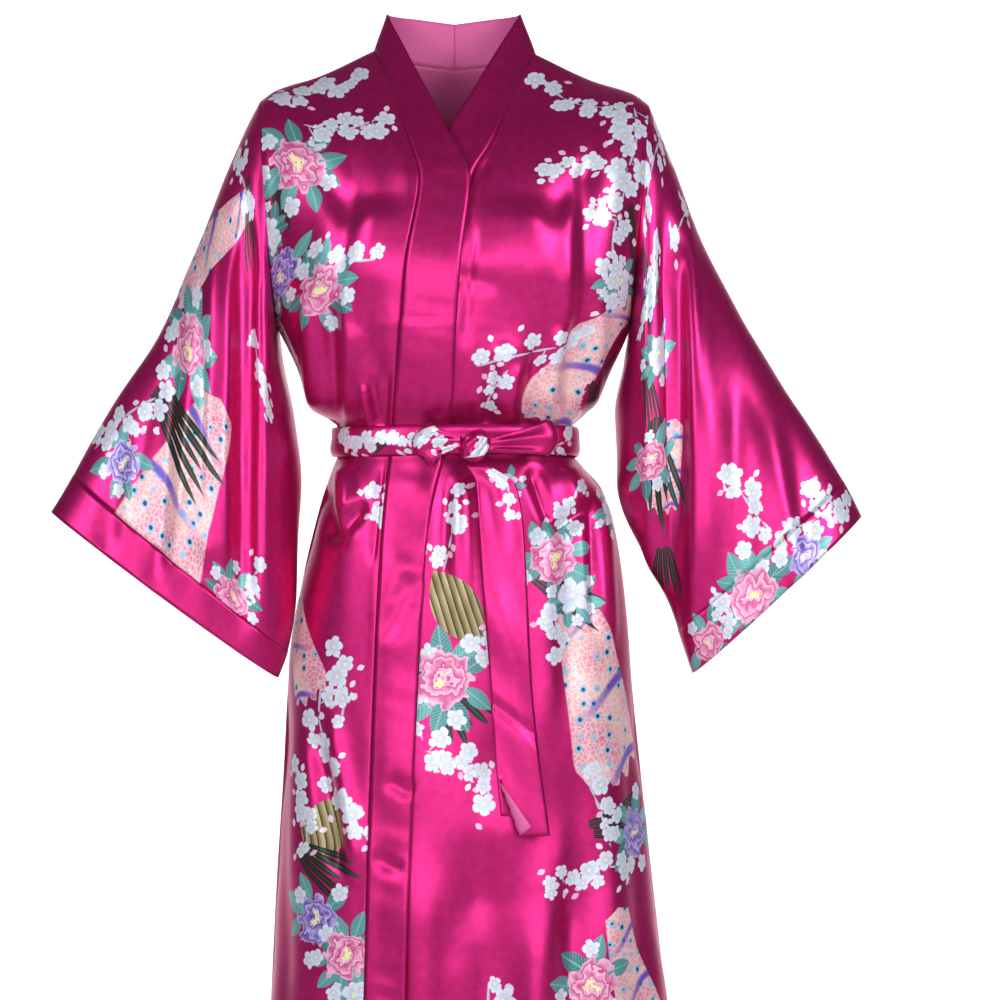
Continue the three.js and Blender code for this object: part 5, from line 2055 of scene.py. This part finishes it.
    def knot(self) -> Array:
        """The knot: the sash drawn tightly round itself, gathered into uneven ridges."""
        form = self.knot_form
        half_x, half_y, half_z = self.knot_half
        up = np.linspace(-1, 1, form.rows)[:, None]
        around = np.linspace(-math.pi, math.pi, form.columns, endpoint=False)[None]
        power, share, rounding = form.bulge
        full = (1 - np.abs(up) ** power * share) ** rounding
        height, number, bend, waves = form.ridge
        ridges = height * np.sin(number * (around + form.slant * up) + bend * np.sin(waves * up))
        height, number, slant = form.cross
        ridges = ridges + height * np.sin(number * around - slant * up)
        out = full * (1 + ridges)
        flat = np.abs(np.cos(around)) ** form.squareness * np.sign(np.cos(around))
        tilt, side = form.tilt
        return points_of(
            self.knot_x + form.width * half_x * flat * out + form.lean * up,
            self.knot_y() - half_y * np.sin(around) * out,
            self.knot_z + half_z * up * (1 + tilt * np.cos(around - side)) - form.drop,
        )

    def build(self) -> None:
        """Builds every piece of the sash."""
        plain, printed = self.finish, self.printed
        front_end = self.turned_corner(self.end(self.front_end), self.front_end.bottom)
        right, left, knot = self.loop(self.right_loop), self.loop(self.left_loop), self.knot()
        on_body, on_knot = ["right_front_bodice", *BACK_NODES], ["sash_knot"]
        # Name, grid, thickness in mm, whether its rows close, print, satin, hold and carriers
        pieces = {
            "sash_wrap": ("sash_wrap", self.wrap(), 1.2, True, SASH_PRINT, printed, "gathered", on_body),
            "right_bow_loop": ("right_bow", right, 1.0, False, BOW_PRINT, printed, "gathered", on_knot),
            "left_bow_loop": ("left_bow", left, 1.0, False, (), plain, "gathered", on_knot),
            "front_sash_end": ("front_end", front_end, 1.0, False, END_PRINT, printed, "hung", on_knot),
            "rear_sash_end": ("rear_end", self.end(self.rear_end), 1.0, False, (), plain, "hung", on_knot),
            "sash_knot": ("sash_knot", knot, 1.0, True, KNOT_PRINT, printed, "gathered", ["sash_wrap"]),
        }
        for node, (name, grid, thickness, wraps, prints, finish, held, rests_on) in pieces.items():
            cloth = Cloth(f"{name}_cloth", grid, Slot.SASH, (node,), thickness, wraps)
            cloth.motifs = self.panels.drawn(cloth, prints)
            self.panels.declare(cloth, finish, held, rests_on)


# Each soft light: name, where it hangs and what it faces, its width and height, in m, and its watts
LAMPS = (
    ("key", (-0.1, -3.5, -0.26), (0, 0, -0.42), (3.4, 0.5), 46),
    ("left_fill", (-2.0, -2.4, 0.55), (0, 0, -0.4), (1.1, 1.1), 32),
    ("right_fill", (2.0, -2.4, 0.55), (0, 0, -0.4), (1.1, 1.1), 44),
    ("paper_light", (0, 3.4, 3.4), (0, 7.5, -0.4), (3.0, 3.0), 420),
)


@dataclass(frozen=True)
class Studio:
    """A pale floor and backdrop, soft lights and the photograph's view. Lengths are in m."""

    camera_at: Three = (0.051, -3.26, -0.486)
    lens_mm: float = 106.7
    sensor_mm: float = 36.0
    floor_z: float = -1.47
    front_y: float = -8.0
    bend_y: float = 6.0
    bend: float = 1.5
    bend_start: float = 0.1
    bend_steps: int = 16
    wall_height: float = 9.0
    half_width: float = 10.0
    paper: str = "F6F5F4"
    paper_roughness: float = 0.9
    sky: float = 0.12

    def camera(self) -> None:
        """Sets up the camera, level and in front."""
        data = bpy.data.cameras.new("Camera")
        data.lens = self.lens_mm
        data.sensor_width = self.sensor_mm
        camera = bpy.data.objects.new("Camera", data)
        camera.location = self.camera_at
        camera.rotation_euler = (math.pi / 2, 0, 0)
        bpy.context.scene.collection.objects.link(camera)
        bpy.context.scene.camera = camera

    def floor(self) -> None:
        """A plain pale sweep under and behind the robe."""
        profile = [(self.front_y, 0.0), (self.bend_y, 0.0)]
        for angle in np.linspace(self.bend_start, math.pi / 2, self.bend_steps):
            y = self.bend_y + self.bend * math.sin(angle)
            profile.append((y, self.bend - self.bend * math.cos(angle)))
        profile.append((self.bend_y + self.bend, self.wall_height))
        sides = (-self.half_width, self.half_width)
        points = [(x, y, self.floor_z + z) for y, z in profile for x in sides]
        faces = [(2 * i, 2 * i + 1, 2 * i + 3, 2 * i + 2) for i in range(len(profile) - 1)]
        mesh = bpy.data.meshes.new("studio_sweep")
        mesh.from_pydata(points, [], faces)
        mesh.shade_smooth()
        material = bpy.data.materials.new("studio_paper")
        material.use_nodes = True
        shader = material.node_tree.nodes["Principled BSDF"]
        shader.inputs["Base Color"].default_value = Finish.colour(self.paper)
        shader.inputs["Roughness"].default_value = self.paper_roughness
        mesh.materials.append(material)
        sweep = bpy.data.objects.new("studio_sweep", mesh)
        bpy.context.scene.collection.objects.link(sweep)

    @staticmethod
    def light(name: str, place: Three, aim: Three, size: Pair, power: float) -> None:
        """Hangs a soft area light.

        Args:
            name: The light's name.
            place: Where it hangs, in m.
            aim: What it faces, in m.
            size: Its width and height, in m.
            power: In watts.
        """
        data = bpy.data.lights.new(name, "AREA")
        data.shape = "RECTANGLE"
        data.size, data.size_y = size
        data.energy = power
        lamp = bpy.data.objects.new(name, data)
        lamp.location = place
        direction = np.subtract(aim, place)
        flat = math.hypot(direction[0], direction[1])
        lamp.rotation_euler = (math.atan2(flat, -direction[2]), 0, math.atan2(-direction[0], direction[1]))
        bpy.context.scene.collection.objects.link(lamp)

    def build(self) -> None:
        """Builds the studio."""
        self.camera()
        self.floor()
        world = bpy.data.worlds.new("World")
        world.use_nodes = True
        world.node_tree.nodes["Background"].inputs["Color"].default_value = (1.0, 1.0, 1.0, 1.0)
        world.node_tree.nodes["Background"].inputs["Strength"].default_value = self.sky
        bpy.context.scene.world = world
        bpy.context.scene.view_settings.view_transform = "Standard"
        for lamp in LAMPS:
            self.light(*lamp)


def main() -> None:
    """Builds the robe and its studio in order."""
    logging.basicConfig(level=logging.INFO, format="%(name)s: %(message)s")
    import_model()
    Studio().build()
    printed = PrintedSatin("printed_charmeuse_satin")
    band = Satin("band_charmeuse_satin", base="BC1C6C")
    panels = Panels(printed, band)
    panels.build()
    Sash(Satin("sash_charmeuse_satin", base="BC1C6C"), printed, panels).build()


if __name__ == "__main__":
    main()
